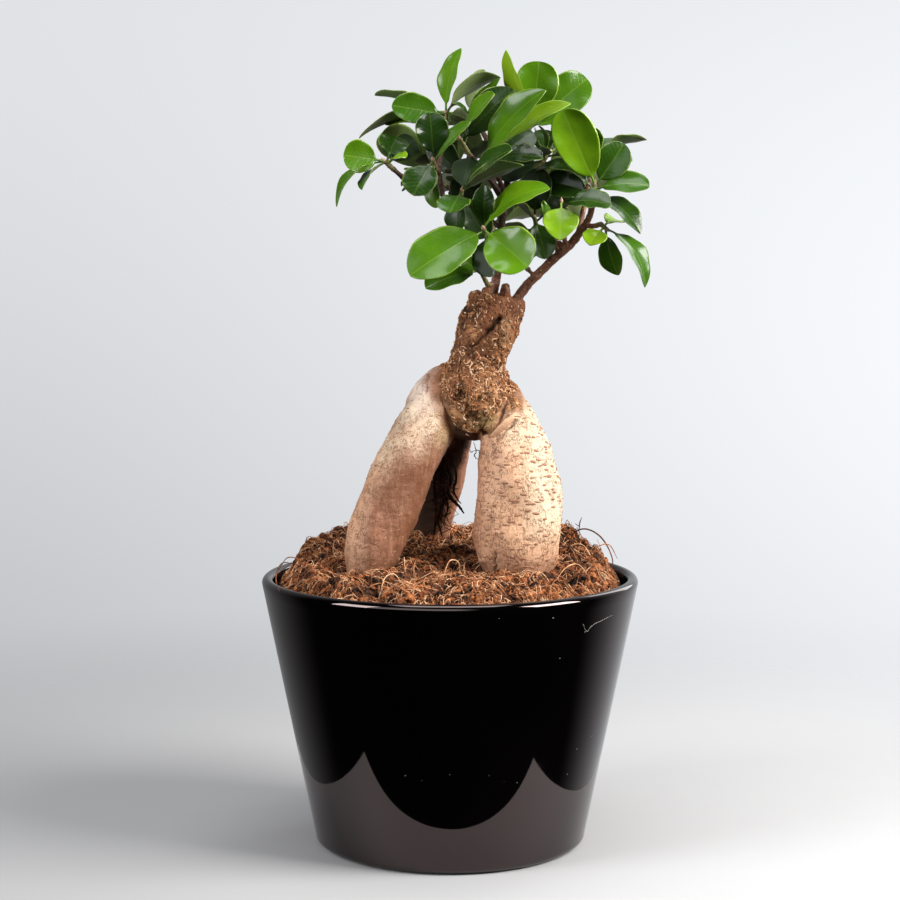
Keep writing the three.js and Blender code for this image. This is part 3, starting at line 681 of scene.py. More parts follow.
# Pale hairs and specks that cling to the glaze: x and height of their places, and radius
POT_HAIRS = (
    (
        (
            (64.5, 124.1), (65.1, 122.1), (66.6, 120.1), (67.6, 121.4),
            (69.7, 123.1), (73.9, 124.1), (77.5, 125.1), (80.6, 125.3),
        ),
        0.1,
    ),
    (((66.2, 120.6), (65.4, 120.0), (64.9, 120.9)), 0.09),
    (((64.0, 124.6), (64.7, 123.6)), 0.1),
    (((48.8, 129.4), (49.5, 129.8)), 0.2),
    (((23.0, 131.2), (23.4, 131.4)), 0.12),
    (((52.6, 108.4), (53.0, 108.8)), 0.14),
    (((-21.8, 51.4), (-21.2, 51.8)), 0.16),
    (((-13.6, 49.5), (-13.3, 49.6)), 0.12),
    (((-0.4, 52.8), (0.0, 52.9)), 0.14),
    (((18.7, 51.8), (19.0, 52.0)), 0.14),
    (((26.1, 48.0), (26.4, 48.1)), 0.1),
    (((32.5, 46.8), (32.8, 46.9)), 0.1),
    (((62.6, 58.4), (62.9, 58.7)), 0.11),
    (((70.6, 62.5), (70.9, 62.9)), 0.13),
)
DUST = (0.25, 0.2, 0.16)


def hair_skin(look):
    """Pale hair and dust."""

    def build(nodes):
        fine = nodes.noise(nodes.place(), 500.0, 2.0)
        colour = nodes.mix(fine, rgb(look.hair), rgb([c * 0.7 for c in look.hair]))
        return {"Base_Color": colour, "Roughness": nodes.scaled(fine, 0.2, 0.4)}

    return surface("Pale hair", build, Specular_IOR_Level=0.4)


def glaze(look):
    """Deep black glaze with a faint wave, smears and a little dust in it."""

    def build(nodes):
        place = nodes.place()
        cloud = nodes.noise(place, 9.0, 2.0)
        tint = nodes.mix(nodes.band(cloud, 0.35, 0.7), rgb(look.colour), rgb([c * 2.2 for c in look.colour]))
        distance, size, chance = nodes.cells(place, 95.0)
        grains = nodes.math("LESS_THAN", distance, nodes.scaled(size, 0.03, 0.012))
        dust = nodes.times(grains, nodes.math("GREATER_THAN", chance, 0.93))
        smear = nodes.noise(nodes.stretch(place, 18, 18, 60), 3.0, 4.0, 0.6)
        waves = nodes.noise(place, 26.0, 2.0, 0.4)
        return {
            "Base_Color": nodes.mix(dust, tint, rgb(DUST)),
            "Roughness": nodes.scaled(nodes.band(smear, 0.5, 0.8), 0.05, look.roughness),
            "Normal": nodes.bump(waves, 0.12, 0.0006),
        }

    return surface("Black glaze", build, Specular_IOR_Level=0.82, Specular_Tint=(1.0, 0.79, 0.77, 1.0))


# Coir mix

SOIL_LEVEL = 147
SOIL_PLAY = 0.4
MOUND_REACH = 87.0
# Where the roots enter the mound: x, y, radius across, radius in depth
ROOT_FEET = ((-38, -21, 14, 14), (35, -19, 21, 19), (-11, 41, 11, 11))
# Clumps (lift above 0) and pits (below 0) of the mound: x, y, width, lift
CLUMPS_AND_PITS = (
    (55, -45, 7.5, -9), (-37, -60, 6.5, -8), (9, -24, 8, -7), (-59, -36, 6, -6), (28, -64, 5, -5),
    (69, -16, 5, -4), (-9, -69, 4.5, -4), (-14, -34, 5, -4), (71, 16, 6, -4), (-50, 30, 7, -5),
    (10, 56, 7, -5), (-72, -12, 5, -4), (73, -32, 8, 3.5), (66, -44, 6, 2.5), (-24, -55, 7, 2.5),
    (14, -56, 8, 2.5), (-52, -50, 7, 2.5), (42, -60, 6, 2.5), (0, -45, 6, 2), (-68, -26, 6, 2.5),
    (58, 26, 8, 3), (-40, 52, 8, 3), (36, 58, 8, 3), (-66, 20, 7, 3),
)
PITS = [(a, b, wide) for a, b, wide, lift in CLUMPS_AND_PITS if lift < 0]


def soil_height(x, y):
    """Height of the heaped mound, lower towards the front and at its edge."""
    r = np.hypot(x, y)
    tilt = 0.13 * np.clip(y, -60, 45)
    lumps = 1.7 * np.sin(x / 9 + 1.3) * np.cos(y / 8 + 0.4) + 1.3 * np.sin(x / 5.5 - y / 7 + 2.1)
    edge = smoothstep(r, 76, 86)
    drop = 14 + 0.13 * np.clip(y, -60, 0)
    for a, b, wide, lift in CLUMPS_AND_PITS:
        lumps = lumps + lift * np.exp(-((x - a) ** 2 + (y - b) ** 2) / wide**2)
    return SOIL_LEVEL + tilt + lumps * (1 - 0.6 * edge) - drop * edge


def rough_height(points, seed):
    """Clods of the coir mix over the even mound."""
    clods = grain(points, 13.0, seed, 4)
    lumps = grain(points, 6.0, seed + 9, 3)
    crumbs = grain(points, 3.2, seed + 4, 3)
    return 2.1 * clods + 1.5 * lumps + 0.9 * np.abs(crumbs)


def soil_surface(x, y, seed):
    """Height of the mound with its clods, which fade out towards the pot."""
    x, y = np.atleast_1d(x), np.atleast_1d(y)
    flat = np.stack((x, y, np.zeros(len(x))), 1)
    fade = 1 - smoothstep(np.hypot(x, y), 84, 90)
    return soil_height(x, y) + rough_height(flat, seed) * fade


def build_soil(look):
    """The potting mix: straight below the pot's rim, uneven on top, with its crumbs and fibres."""
    sides = 300
    turns = np.linspace(0, FULL_TURN, sides, endpoint=False)
    rings = []
    for z in (POT_FLOOR + SOIL_PLAY, 40, 75, 100, 118, 126):
        rings.append((np.full(sides, pot_radius(z) - POT_WALL - SOIL_PLAY), np.full(sides, z)))
    for radius in (88.2, 87.2, 86, 84.8, 83.5, 82, 80.5, 79, 77.5, 76, *np.arange(74.5, 6, -1.45), 4.2):
        swing = 0.8 * np.sin(7 * turns) + 0.6 * np.sin(17 * turns + 2)
        wide = radius + swing * smoothstep(radius, 60, 80) * (1 - smoothstep(radius, 83, 87))
        rings.append((wide, soil_surface(wide * np.cos(turns), wide * np.sin(turns), look.seed)))
    shell = Shell()
    shell.add_rings([np.stack((w * np.cos(turns), w * np.sin(turns), z), 1) for w, z in rings])
    settle(shell.object("coir_mound"), coir(look), "soil", "soil")
    build_crumbs(look)
    build_fibres(look)


def ground_place(rng, reach=84.5):
    """A random place on the mound, away from the roots' middles."""
    while True:
        r, t = reach * math.sqrt(rng.random()), rng.uniform(0, FULL_TURN)
        x, y = r * math.cos(t), r * math.sin(t)
        inside = any(math.hypot((x - a) / w, (y - b) / d) < 0.92 for a, b, w, d in ROOT_FEET)
        pit = any(math.hypot(x - a, y - b) < 0.85 * wide for a, b, wide in PITS)
        if not inside and (not pit or rng.random() < 0.2):
            return x, y


def pit_shade(x, y):
    """How deep a place lies in one of the mound's pits, from 0 to 1, for the painted shade in the pits."""
    return max(math.exp(-((x - a) ** 2 + (y - b) ** 2) / wide**2) for a, b, wide in PITS)


def build_crumbs(look):
    """Clods of peat and bark chips pressed into the mound."""
    rng = random.Random(look.seed + 1)
    shell = Shell()
    places = [ground_place(rng) for _ in range(look.crumbs)]
    rim = [(rng.uniform(79, 85.5), rng.uniform(0, FULL_TURN)) for _ in range(look.crumbs // 8)]
    places += [(reach * math.cos(turn), reach * math.sin(turn)) for reach, turn in rim]
    levels = soil_surface([p[0] for p in places], [p[1] for p in places], look.seed)
    turns = np.linspace(0, FULL_TURN, 6, endpoint=False)
    for (x, y), level in zip(places, levels):
        size = rng.uniform(0.7, 1.5) if rng.random() < 0.7 else rng.uniform(1.5, 2.9)
        narrow, thin = rng.uniform(0.5, 1.0), rng.uniform(0.35, 0.8)
        axis = unit([rng.gauss(0, 0.6), rng.gauss(0, 0.6), 1])
        across = unit(np.cross(axis, (math.cos(rng.uniform(0, 6.3)), 0.4, 0.3)))
        deep = np.cross(axis, across)
        rings = []
        for lift in (-0.9, -0.35, 0.4, 0.88):
            wide = size * math.sqrt(1 - lift * lift) * np.array([rng.uniform(0.65, 1.3) for _ in turns])
            flat = np.outer(wide * np.cos(turns), across) + np.outer(narrow * wide * np.sin(turns), deep)
            rings.append(flat + (x, y, level + 0.2 * size) + axis * (size * thin * lift))
        tone = rng.choice((0.0, 0.08, 0.25, 0.45, 0.6)) * (0.7 if size > 1.5 else 1)
        # Crumbs in the pits get painted shade.
        shell.add_rings(rings, tone=tone - 0.5 * pit_shade(x, y))
    shell.smooth = False
    settle(shell.object("peat_crumbs"), coir(look), "soil")


def fibre(shell, places, radius, tone, sides=3):
    """A hair of coir along the given places, thinner at both ends."""
    places = np.asarray(places, float)
    n = len(places)
    rings = []
    for i, place in enumerate(places):
        way = unit(places[min(i + 1, n - 1)] - places[max(i - 1, 0)])
        across = unit(np.cross(way, (0.31, 0.2, 0.93)))
        depth = np.cross(way, across)
        wide = radius * (0.35 + 0.65 * math.sin(math.pi * (i + 0.4) / (n - 0.2)))
        turns = np.arange(sides) * FULL_TURN / sides
        rings.append(place + wide * (np.outer(np.cos(turns), across) + np.outer(np.sin(turns), depth)))
    shell.add_rings(rings, tone=tone)


def build_fibres(look):
    """Coir fibres that lie over the mound, with some that stand up from it."""
    rng = random.Random(look.seed + 2)
    shell = Shell()
    for _ in range(look.fibres):
        x, y = ground_place(rng, 86)
        if rng.random() < 0.12:
            turn, reach = rng.uniform(0, FULL_TURN), rng.uniform(80, 87)
            x, y = reach * math.cos(turn), reach * math.sin(turn)
        heading = rng.uniform(0, FULL_TURN)
        length = rng.uniform(2.5, 10) if rng.random() < 0.86 else rng.uniform(10, 24)
        bend = rng.gauss(0, 0.8)
        steps = 4 if length < 9 else 7
        rise = rng.uniform(-0.5, 1.3) if rng.random() < 0.88 else rng.uniform(1.5, 4.0)
        tilt = rng.gauss(0, 0.16) * length
        path = []
        for k in range(steps):
            t = k / (steps - 1)
            turn = heading + bend * t
            path.append((x + length * (t - 0.5) * math.cos(turn), y + length * (t - 0.5) * math.sin(turn), t))
        xs, ys, ts = (np.array(v) for v in zip(*path))
        reach = np.hypot(xs, ys)
        pull = np.minimum(1, MOUND_REACH / np.maximum(reach, 1))
        xs, ys = xs * pull, ys * pull
        level = soil_surface(xs, ys, look.seed)
        zs = level + 0.35 + rise * np.sin(math.pi * ts) + rng.uniform(-0.3, 0.9) + tilt * (ts - 0.5)
        tone = rng.uniform(0.55, 1.0) if rng.random() < 0.55 else rng.uniform(0.08, 0.45)
        # Fibres in the pits get painted shade.
        tone = tone - 0.5 * pit_shade(x, y)
        fibre(shell, np.stack((xs, ys, np.maximum(zs, level - 0.3)), 1), rng.uniform(0.1, 0.26), tone)
    for path, radius, tone in WIRY_ROOTS:
        places, _ = smooth_path(path, 7)
        fibre(shell, places, radius, tone, 6)
    settle(shell.object("coir_fibres"), coir(look), "soil")


# Roots and long fibres that stand out of the mound: their places, radius and tone
WIRY_ROOTS = (
    (
        (
            (61, -4, 152), (63, -5, 159.5), (68, -8, 162.5), (74, -12, 161),
            (79, -18, 156), (82, -22, 148), (81, -24, 143),
        ),
        0.42,
        0.1,
    ),
    (((66, -5, 160), (66.3, -5, 165), (67.5, -4, 168)), 0.3, 0.1),
    (((66.6, -5, 163), (63.8, -6, 165)), 0.22, 0.1),
    (((70, -30, 150), (74, -33, 157), (79, -32, 158), (84, -27, 150)), 0.3, 0.55),
    (((-84, -46, 136), (-86, -44, 143), (-83, -42, 150), (-76, -40, 149)), 0.35, 0.25),
    (((-70, -47, 146), (-74, -46, 152), (-80, -43, 153), (-85, -38, 146)), 0.28, 0.3),
    (((-60, -10, 150), (-63, -12, 158), (-58, -16, 161), (-52, -20, 153)), 0.3, 0.2),
    (((5, -40, 143), (4, -44, 151), (0, -47, 152), (-4, -50, 142)), 0.3, 0.85),
    (((-22, -62, 140), (-27, -64, 148), (-31, -66, 147), (-34, -69, 138)), 0.28, 0.9),
    (((50, -52, 140), (57, -50, 149), (63, -46, 150), (69, -43, 143)), 0.28, 0.8),
)


def coir(look):
    """Coir and peat, from dark crumbs to straw-coloured fibres, by the tone of each piece."""
    if "Coir mix" in bpy.data.materials:
        return bpy.data.materials["Coir mix"]

    def build(nodes):
        place = nodes.place()
        tone = nodes.attribute("tone")
        fine = nodes.noise(place, 420.0, 4.0, 0.65)
        drift = nodes.noise(place, 85.0, 3.0, 0.6)
        level = nodes.scaled(nodes.minus(fine, 0.5), 1.1, nodes.scaled(drift, 0.9, tone))
        level = nodes.minus(level, 0.4)
        stops = [(0.0, look.peat), (0.35, look.brown), (0.7, look.orange), (1.0, look.straw)]
        return {
            "Base_Color": nodes.ramp(level, stops),
            "Roughness": nodes.scaled(fine, 0.2, 0.62),
            "Normal": nodes.bump(nodes.noise(place, 900.0, 3.0, 0.7), 0.6, 0.0004),
        }

    return surface("Coir mix", build, Specular_IOR_Level=0.2)


# Rootstock


def root_ripple(turns, place):
    """Shallow ribs that wind along a root."""
    return 1 + 0.03 * np.sin(3 * turns + place[2] / 9) + 0.02 * np.sin(5 * turns - place[2] / 6)


def trunk_ripple(turns, place):
    """Deeper ribs round the trunk."""
    return 1 + 0.05 * np.sin(4 * turns + place[2] / 7) + 0.04 * np.sin(7 * turns - place[2] / 4)


# Marks on the side that faces the camera: x, z, half width, half height, turn in degrees, height of relief
KNOBS = (
    (3.0, 222.2, 2.2, 1.9, 0, 1.5),
    (32.3, 226.3, 4.2, 3.8, 0, 1.3),
    (31.2, 226.0, 1.3, 1.2, 0, -1.7),
    (34.6, 228.4, 1.1, 1.0, 0, -1.2),
    (29.6, 229.4, 1.4, 0.9, 30, 1.1),
    (23.3, 164.7, 1.5, 1.2, 0, 1.2),
    (16.4, 148.8, 2.0, 1.7, 0, 1.3),
    (7.6, 274.9, 2.0, 2.4, 0, 1.3),
    (25.6, 254.1, 2.5, 2.2, 0, 1.5),
    (25.6, 253.8, 0.9, 0.8, 0, -1.8),
    (9.0, 262.0, 2.6, 4.2, 10, 1.0),
    (16.0, 246.0, 3.5, 2.5, 15, 1.0),
    (8.5, 235.0, 3.2, 2.4, -20, 0.9),
    (21.0, 233.0, 3.6, 3.0, 0, 0.9),
    (28.4, 262.5, 3.4, 7.0, -6, 1.2),
    (12.0, 260.0, 3.2, 9.0, -32, 1.3),
    (4.0, 262.0, 3.0, 6.0, -15, 0.8),
    (33.0, 219.5, 4.5, 1.5, -20, 0.6),
)
# Creases and thin ridges on the same side: x and z of both ends, half width, height of relief
CREASES = (
    (22.8, 208.9, 33.4, 219.6, 0.5, -1.0),
    (25.5, 270.5, 18.5, 262.5, 1.2, -2.4),
    (24.4, 268.0, 24.0, 254.0, 0.6, -0.9),
    (18.5, 262.5, 10.5, 254.5, 0.8, -1.2),
    (4.5, 270.0, 2.0, 258.0, 0.8, -0.8),
    (5.5, 240.0, 8.0, 228.0, 0.6, -0.8),
    (22.4, 154.0, 22.6, 144.0, 0.6, -1.1),
    (15.5, 176.5, 24.0, 177.0, 0.35, -0.4),
    (27.0, 152.0, 38.0, 150.5, 0.4, -0.45),
    (36.0, 161.0, 47.0, 160.0, 0.4, -0.4),
    (-50.0, 171.0, -42.0, 169.5, 0.4, -0.4),
    (-47.0, 160.0, -36.0, 158.0, 0.45, -0.4),
    (-11.9, 240.5, -12.9, 231.5, 0.7, 0.7),
    (-10.9, 241.0, -12.0, 231.5, 0.45, -1.1),
    (-13.1, 240.5, -14.1, 233.0, 0.45, -0.9),
)


def facing(normals):
    """1 where the skin faces the front, 0 where it faces away."""
    return smoothstep(-normals[:, 1], 0.0, 0.35)


def knob_relief(points, normals, knobs):
    """Height of all knobs and dents together."""
    total = np.zeros(len(points))
    for x, z, wide, tall, turn, height in knobs:
        c, s = math.cos(math.radians(turn)), math.sin(math.radians(turn))
        dx, dz = points[:, 0] - x, points[:, 2] - z
        a, b = (dx * c + dz * s) / wide, (dz * c - dx * s) / tall
        total += height * np.exp(-(a * a + b * b))
    return total * facing(normals)


def crease_relief(points, normals, creases):
    """Height of all creases and ridges together."""
    total = np.zeros(len(points))
    for x0, z0, x1, z1, wide, height in creases:
        length = math.hypot(x1 - x0, z1 - z0)
        ux, uz = (x1 - x0) / length, (z1 - z0) / length
        dx, dz = points[:, 0] - x0, points[:, 2] - z0
        run = dx * ux + dz * uz
        off = dx * uz - dz * ux + 0.35 * np.sin(run * 1.1)
        ends = smoothstep(run, -1.2, 0.8) * (1 - smoothstep(run, length - 0.8, length + 1.2))
        total += height * np.exp(-((off / wide) ** 2)) * ends
    return total * facing(normals)


def lobe_edge(x):
    """Height of the lower edge of the corky lobe that hangs over the two front roots."""
    return 229 - 16 * np.exp(-np.abs((x - 12.5) / 13.6) ** 5)


def lobe_relief(points, normals):
    """The lobe's overhang, the gap under it, and a mask of painted shade under the lobe."""
    x = points[:, 0]
    slope = (lobe_edge(x + 0.1) - lobe_edge(x - 0.1)) / 0.2
    above = (points[:, 2] - lobe_edge(x)) / np.sqrt(1 + slope**2)
    front = facing(normals) * (1 - smoothstep(np.abs(x - 12.5), 14, 17))
    swell = 1.5 * smoothstep(above, -0.3, 0.9) * (1 - smoothstep(above, 4, 14))
    gap = np.exp(-(((above + 0.6) / 0.85) ** 2)) * front
    below = smoothstep(-normals[:, 2], 0.0, 0.4) * (1 - smoothstep(points[:, 1], 8, 14))
    under = smoothstep(-above, 0.2, 1.2) * (1 - smoothstep(-above, 11, 15)) * np.maximum(front, below)
    under = under * smoothstep(x, -1, 3) * (1 - smoothstep(x, 13, 17))
    gap = gap * (0.25 + 0.75 * smoothstep(x, -1, 5))
    return front * swell - 2.3 * gap, np.maximum(under, gap * (0.45 + 0.55 * smoothstep(-x, -19, -14)))


def neck_axis(z):
    """How far right the middle of the leaning neck lies at a height."""
    return 12 + 0.2 * (z - 230)


def spot(x, z, middle_x, middle_z, wide, tall):
    """A soft patch seen from the front, from 1 in its middle to 0 far from it."""
    return np.exp(-(((x - middle_x) / wide) ** 2 + ((z - middle_z) / tall) ** 2))


def corky_neck(points, normals, wander):
    """Where the skin is cork: 0 on the smooth roots, 1 on the neck and on the trunk."""
    x, y, z = points.T
    off_axis = np.hypot((x - neck_axis(z)) / 19, (y + 1) / 18)
    front = smoothstep(-y, -6, 8)
    border = 229 + (lobe_edge(x) - 229) * front
    blur = 8 + 3 * smoothstep(-x, -2, 8)
    blur = blur - 6.5 * front * smoothstep(x, 0, 6) * (1 - smoothstep(x, 24, 31))
    neck = smoothstep(z + 0.5 * blur * wander, border - blur, border + blur)
    neck = neck * (1 - smoothstep(off_axis, 1.12, 1.5)) * smoothstep(x + 2.5 * wander, -11, -3)
    neck = np.maximum(neck, smoothstep(z, 244, 250))
    return np.maximum(neck, np.exp(-(((x - 32) / 4.6) ** 4) - ((z - 227) / 4.2) ** 4) * facing(normals))


def cork_relief(points):
    """Plates, cracks, pits, curls and folds of the cork, lower towards the limbs."""
    x, y, z = points.T
    turns = np.arctan2(y, x - neck_axis(z))
    cracks = grain(np.stack((turns * 15, np.zeros(len(z)), z / 2.6), 1), 2.6, 3.0, 3)
    plates = grain(points, 4.6, 5.0, 3)
    pits = grain(points, 2.1, 6.0, 2)
    curls = 1 - 3.0 * np.abs(grain(points * (1, 1, 1.3), 2.6, 12.0, 2))
    leaning = points * (1.0, 1.0, 0.55) + (0.35 * z)[:, None] * (1, 0, 0)
    folds = 0.55 - 2.6 * np.abs(grain(leaning, 8.0, 14.0, 2))
    cork = 0.5 * plates + 0.38 * (1 - 2.2 * np.abs(cracks)) + 0.3 * pits + 0.3 * curls + 0.85 * folds
    return cork * (1 - 0.55 * smoothstep(z, 247, 258))


def root_relief(points):
    """Slow swells, wrinkles across and streaks along the smooth roots."""
    slow = grain(points, 16.0, 7.0, 2)
    wrinkle = grain(points * (0.35, 0.35, 1.0), 1.6, 8.0, 2)
    streak = grain(points * (1.0, 1.0, 0.16), 1.5, 9.0, 2)
    return 0.55 * slow + 0.16 * wrinkle + 0.14 * streak


def paint_shade_and_highlights(mesh, points, normals, neck, cork, knobs, creases, gap):
    """Marks painted shade in the bark's hollows, creases and arch and under the lobe, and pale painted
    highlights on the crests of the cork and the knobs.
    """
    x, y, z = points.T
    front = facing(normals)
    # Painted shadow inside the arch behind the left root.
    arch = smoothstep(y, 2, 9) * smoothstep(-y, -45, -36) * smoothstep(x, -24, -19)
    arch = arch * np.maximum(front, smoothstep(-normals[:, 0], 0.1, 0.5))
    arch = arch * (1 - smoothstep(x - 0.34 * (z - 160), -7.5, -3.5)) * (1 - smoothstep(z, 214, 222))
    # Painted shade in the creases, in the cracks of the cork and in soft patches on the neck.
    dark = np.clip(-creases / 1.6, 0, 1) + neck * np.clip(-cork * 0.9 + 0.1, 0, 0.85)
    dark = dark + (0.5 * spot(x, z, 8, 273, 6, 6) + 0.25 * spot(x, z, 5, 277, 8, 9)) * front
    dark = dark + (0.12 * spot(x, z, 7, 225, 7, 12) + 0.3 * spot(x, z, 15, 248, 5, 8)) * neck
    paint(mesh, "hollow", np.clip(np.maximum(dark + 1.1 * gap, 1.16 * arch), 0, 1.16))
    # Pale painted highlight on the raised cork and on the knobs.
    paint(mesh, "crest", neck * np.clip(cork * 0.8 - 0.25 + 0.45 * np.clip(knobs, 0, 1.4), 0, 1))


def paint_tones(mesh, points, normals, neck, wander):
    """Marks the olive, tan, blushed and rusty parts of the bark, the cream painted highlights, the painted
    light on the right root and the left root's edge, the brown painted shade on the left root, and the skin
    that darkens towards the soil.
    """
    x, y, z = points.T
    side, front = normals[:, 0], facing(normals)
    rust = np.maximum(spot(x + 0.4 * (z - 233), z, -5, 233, 6, 8.5), 0.8 * spot(x, z, -1, 222, 4, 6)) * front
    # Painted highlight in cream: the lit right side of the right root, its upper shoulder and the top of the
    # left root.
    right = smoothstep(x, 31, 47) * smoothstep(z, 150, 176) * (1 - smoothstep(z, 226, 240))
    shoulder = 0.7 * smoothstep(x, 24, 31) * smoothstep(z, 200, 212)
    shoulder = shoulder * (1 - smoothstep(z + 0.5 * wander, 222, 227)) * (1 - neck)
    top_left = smoothstep(z - 0.35 * x, 200, 222) * (1 - smoothstep(x, -2, 6)) * smoothstep(-y, 2, 14)
    top_left = 0.95 * top_left * (0.65 + 0.6 * wander)
    paint(mesh, "cream", np.clip(np.maximum(right, shoulder) + top_left - 0.9 * rust, 0, 1))
    paint(mesh, "tinge", (spot(x, z, -1, 212, 6, 9) + spot(x, z, 19, 217, 6.5, 4.5)) * front)
    # The roots grow darker towards the soil.
    paint(mesh, "damp", 1 - smoothstep(z + 2 * wander, 140, 160))
    tan = (0.7 * spot(x, z, 27, 262, 5, 9) + 0.4 * spot(x, z, 19, 236, 5, 9)) * front
    paint(mesh, "low", np.clip(0.4 * (1 - smoothstep(z + 3 * wander, 224, 244)) + tan, 0, 1))
    # Painted light: the lit front of the right root, and the left root's left edge as if lit from the left.
    lit = smoothstep(x, 10, 19) * (1 - smoothstep(y, 6, 14)) * smoothstep(z, 140, 152)
    lit = lit * (1 - smoothstep(z, 220, 230)) * (1 - 0.15 * smoothstep(-side, 0.2, 0.8))
    outer = 0.55 * smoothstep(-side, 0.1, 0.7) * (1 - smoothstep(x, -22, -10)) * (1 - smoothstep(z, 205, 220))
    paint(mesh, "lit", np.maximum(lit, outer) * (1 - 0.5 * rust))
    # Painted shade on the left root where it faces away from the left, and in a patch low on it; a little of
    # the rust patch joins it as colour.
    brown = smoothstep(side, -0.7, -0.2) * (1 - smoothstep(x, -14, -4)) * (1 - smoothstep(z, 186, 212))
    brown = brown * (0.5 + 0.35 * (1 - smoothstep(z, 152, 178)))
    brown = brown + 0.6 * spot(x, z, -21, 183, 10, 15) * (1 - smoothstep(x, -10, -2))
    paint(mesh, "brown", np.maximum(brown, 0.4 * rust))
    paint(mesh, "blush", spot(x, z, -14, 233, 12, 12) * (1 - 0.85 * rust) * (1 - neck))
    paint(mesh, "rust", rust)


def build_rootstock(look):
    """Roots, trunk and stubs under one skin with its relief and its tones, and all that grows on it."""
    shell = Shell()
    shell.add_rings(stem_rings(TRUNK, 40, 8, trunk_ripple))
    for root in (LEFT_ROOT, RIGHT_ROOT, BACK_ROOT):
        shell.add_rings(stem_rings(root, 44, 10, root_ripple))
    for stub in STUBS:
        shell.add_rings(stem_rings(stub, 16, 4))
    body = weld(shell.object("rootstock_body"), look.skin, 5)
    points, normals = read_points(body.data)
    wander = grain(points, 9.0, 1.0)
    neck = corky_neck(points, normals, wander)
    cork = cork_relief(points)
    knobs = knob_relief(points, normals, KNOBS)
    creases = crease_relief(points, normals, CREASES)
    # The second value is a mask of painted shade under the lobe.
    lobe, gap = lobe_relief(points, normals)
    relief = neck * cork + (1 - neck) * root_relief(points) + knobs + creases + lobe
    paint(body.data, "cork", neck)
    paint_shade_and_highlights(body.data, points, normals, neck, cork, knobs, creases, gap)
    paint_tones(body.data, points, normals, neck, wander)
    points = points + normals * relief[:, None]
    write_points(body.data, points)
    settle(body, bark(look), "bark", "rootstock")
    tree = kdtree.KDTree(len(points))
    for i, point in enumerate(points):
        tree.insert(point, i)
    tree.balance()
    build_pores(look, points, normals, neck, tree)
    build_flakes(look, points, normals, neck * (creases > -0.7), tree)
    build_bark_pieces(look)


def surface_ways(normal, turn):
    """Two ways along the skin at right angles, turned by an angle from level and upright."""
    across = unit(np.cross((0, 0, 1), normal))
    up = np.cross(normal, across)
    return across * math.cos(turn) + up * math.sin(turn), up * math.cos(turn) - across * math.sin(turn)


def build_flakes(look, points, normals, neck, tree):
    """Small plates and curls of cork, pale and dark, that stand up all over the neck and the trunk."""
    rng = random.Random(look.seed + 31)
    spots = [i for i in range(len(points)) if neck[i] > 0.8 and points[i][2] < 284]
    spots = [i for i in spots if 224 < points[i][2] < 250 or i % 3 == 0]
    shell = Shell()
    turns = np.linspace(0, FULL_TURN, 6, endpoint=False)
    for _ in range(look.flakes):
        i = spots[rng.randrange(len(spots))]
        normal = unit(normals[i] + [rng.gauss(0, 0.22) for _ in range(3)])
        across, up = surface_ways(normal, rng.gauss(0.3, 0.8))
        wide, tall = rng.uniform(0.16, 0.42), rng.uniform(0.5, 1.5)
        ragged = np.array([rng.uniform(0.7, 1.2) for _ in turns])
        flat = np.outer(np.cos(turns) * wide * ragged, across) + np.outer(np.sin(turns) * tall * ragged, up)
        lift = rng.uniform(0.12, 0.42)
        rings = [points[i] + flat - normal * 0.35]
        rings.append(points[i] + flat * 0.95 + normal * lift * 0.6)
        rings.append(points[i] + flat * 0.6 + normal * lift)
        pale = rng.random() < 0.16
        shell.add_rings(rings, tone=rng.uniform(0.85, 1.0) if pale else rng.uniform(0.1, 0.75))
    for _ in range(look.curls):
        place = points[spots[rng.randrange(len(spots))]]
        heading, bend = rng.uniform(0, FULL_TURN), rng.gauss(0, 0.75)
        line = []
        for _ in range(6):
            _, near, _ = tree.find(place)
            line.append(points[near] + normals[near] * 0.12)
            ahead, _ = surface_ways(normals[near], heading)
            place = place + ahead * 0.75
            heading += bend
        fibre(shell, line, rng.uniform(0.24, 0.42), rng.uniform(0.4, 0.95), 5)
    settle(shell.object("cork_flakes"), flake_skin(look), "bark")


def build_pores(look, points, normals, neck, tree):
    """Raised breathing pores: short dashes that lie across the roots, larger and level on the right root."""
    rng = random.Random(look.seed + 11)
    spots = []
    for i in range(0, len(points), 3):
        if points[i][2] > 146 and neck[i] < 0.25 and abs(normals[i][2]) < 0.75:
            spots.append(i)
    shell = Shell()
    turns = np.linspace(0, FULL_TURN, 8, endpoint=False)
    for _ in range(look.pores):
        i = spots[rng.randrange(len(spots))]
        if points[i][0] < 12 and points[i][1] > 2 and normals[i][1] < 0.1:
            continue
        right = points[i][0] > 12 and points[i][1] < 8
        if not right and rng.random() < 0.66:
            continue
        across, up = surface_ways(normals[i], rng.gauss(0, 0.12) + (0 if right else 0.35))
        half = rng.uniform(0.8, 2.0) if right else rng.uniform(0.5, 1.5)
        tall = rng.uniform(0.36, 0.7) if right else rng.uniform(0.22, 0.42)
        rings = []
        for k in range(7):
            t = -1 + k / 3
            place = points[i] + across * half * t
            _, near, _ = tree.find(place)
            off = place - points[near]
            place = points[near] + off - normals[near] * np.dot(off, normals[near])
            swell = math.sqrt(max(0.0, 1 - t * t)) * 0.9 + 0.1
            flat = place + np.outer(np.cos(turns) * tall * swell, up)
            rings.append(flat + np.outer(np.sin(turns) * 0.26 * swell + 0.02, normals[near]))
        foot = np.tile(1 - np.clip(np.sin(turns), 0, 1), 7)
        foot[:8] = foot[-8:] = 1
        shell.add_rings(rings, tone=rng.uniform(0.1, 0.9), foot=foot)
    settle(shell.object("bark_pores"), pore_skin(look), "bark")


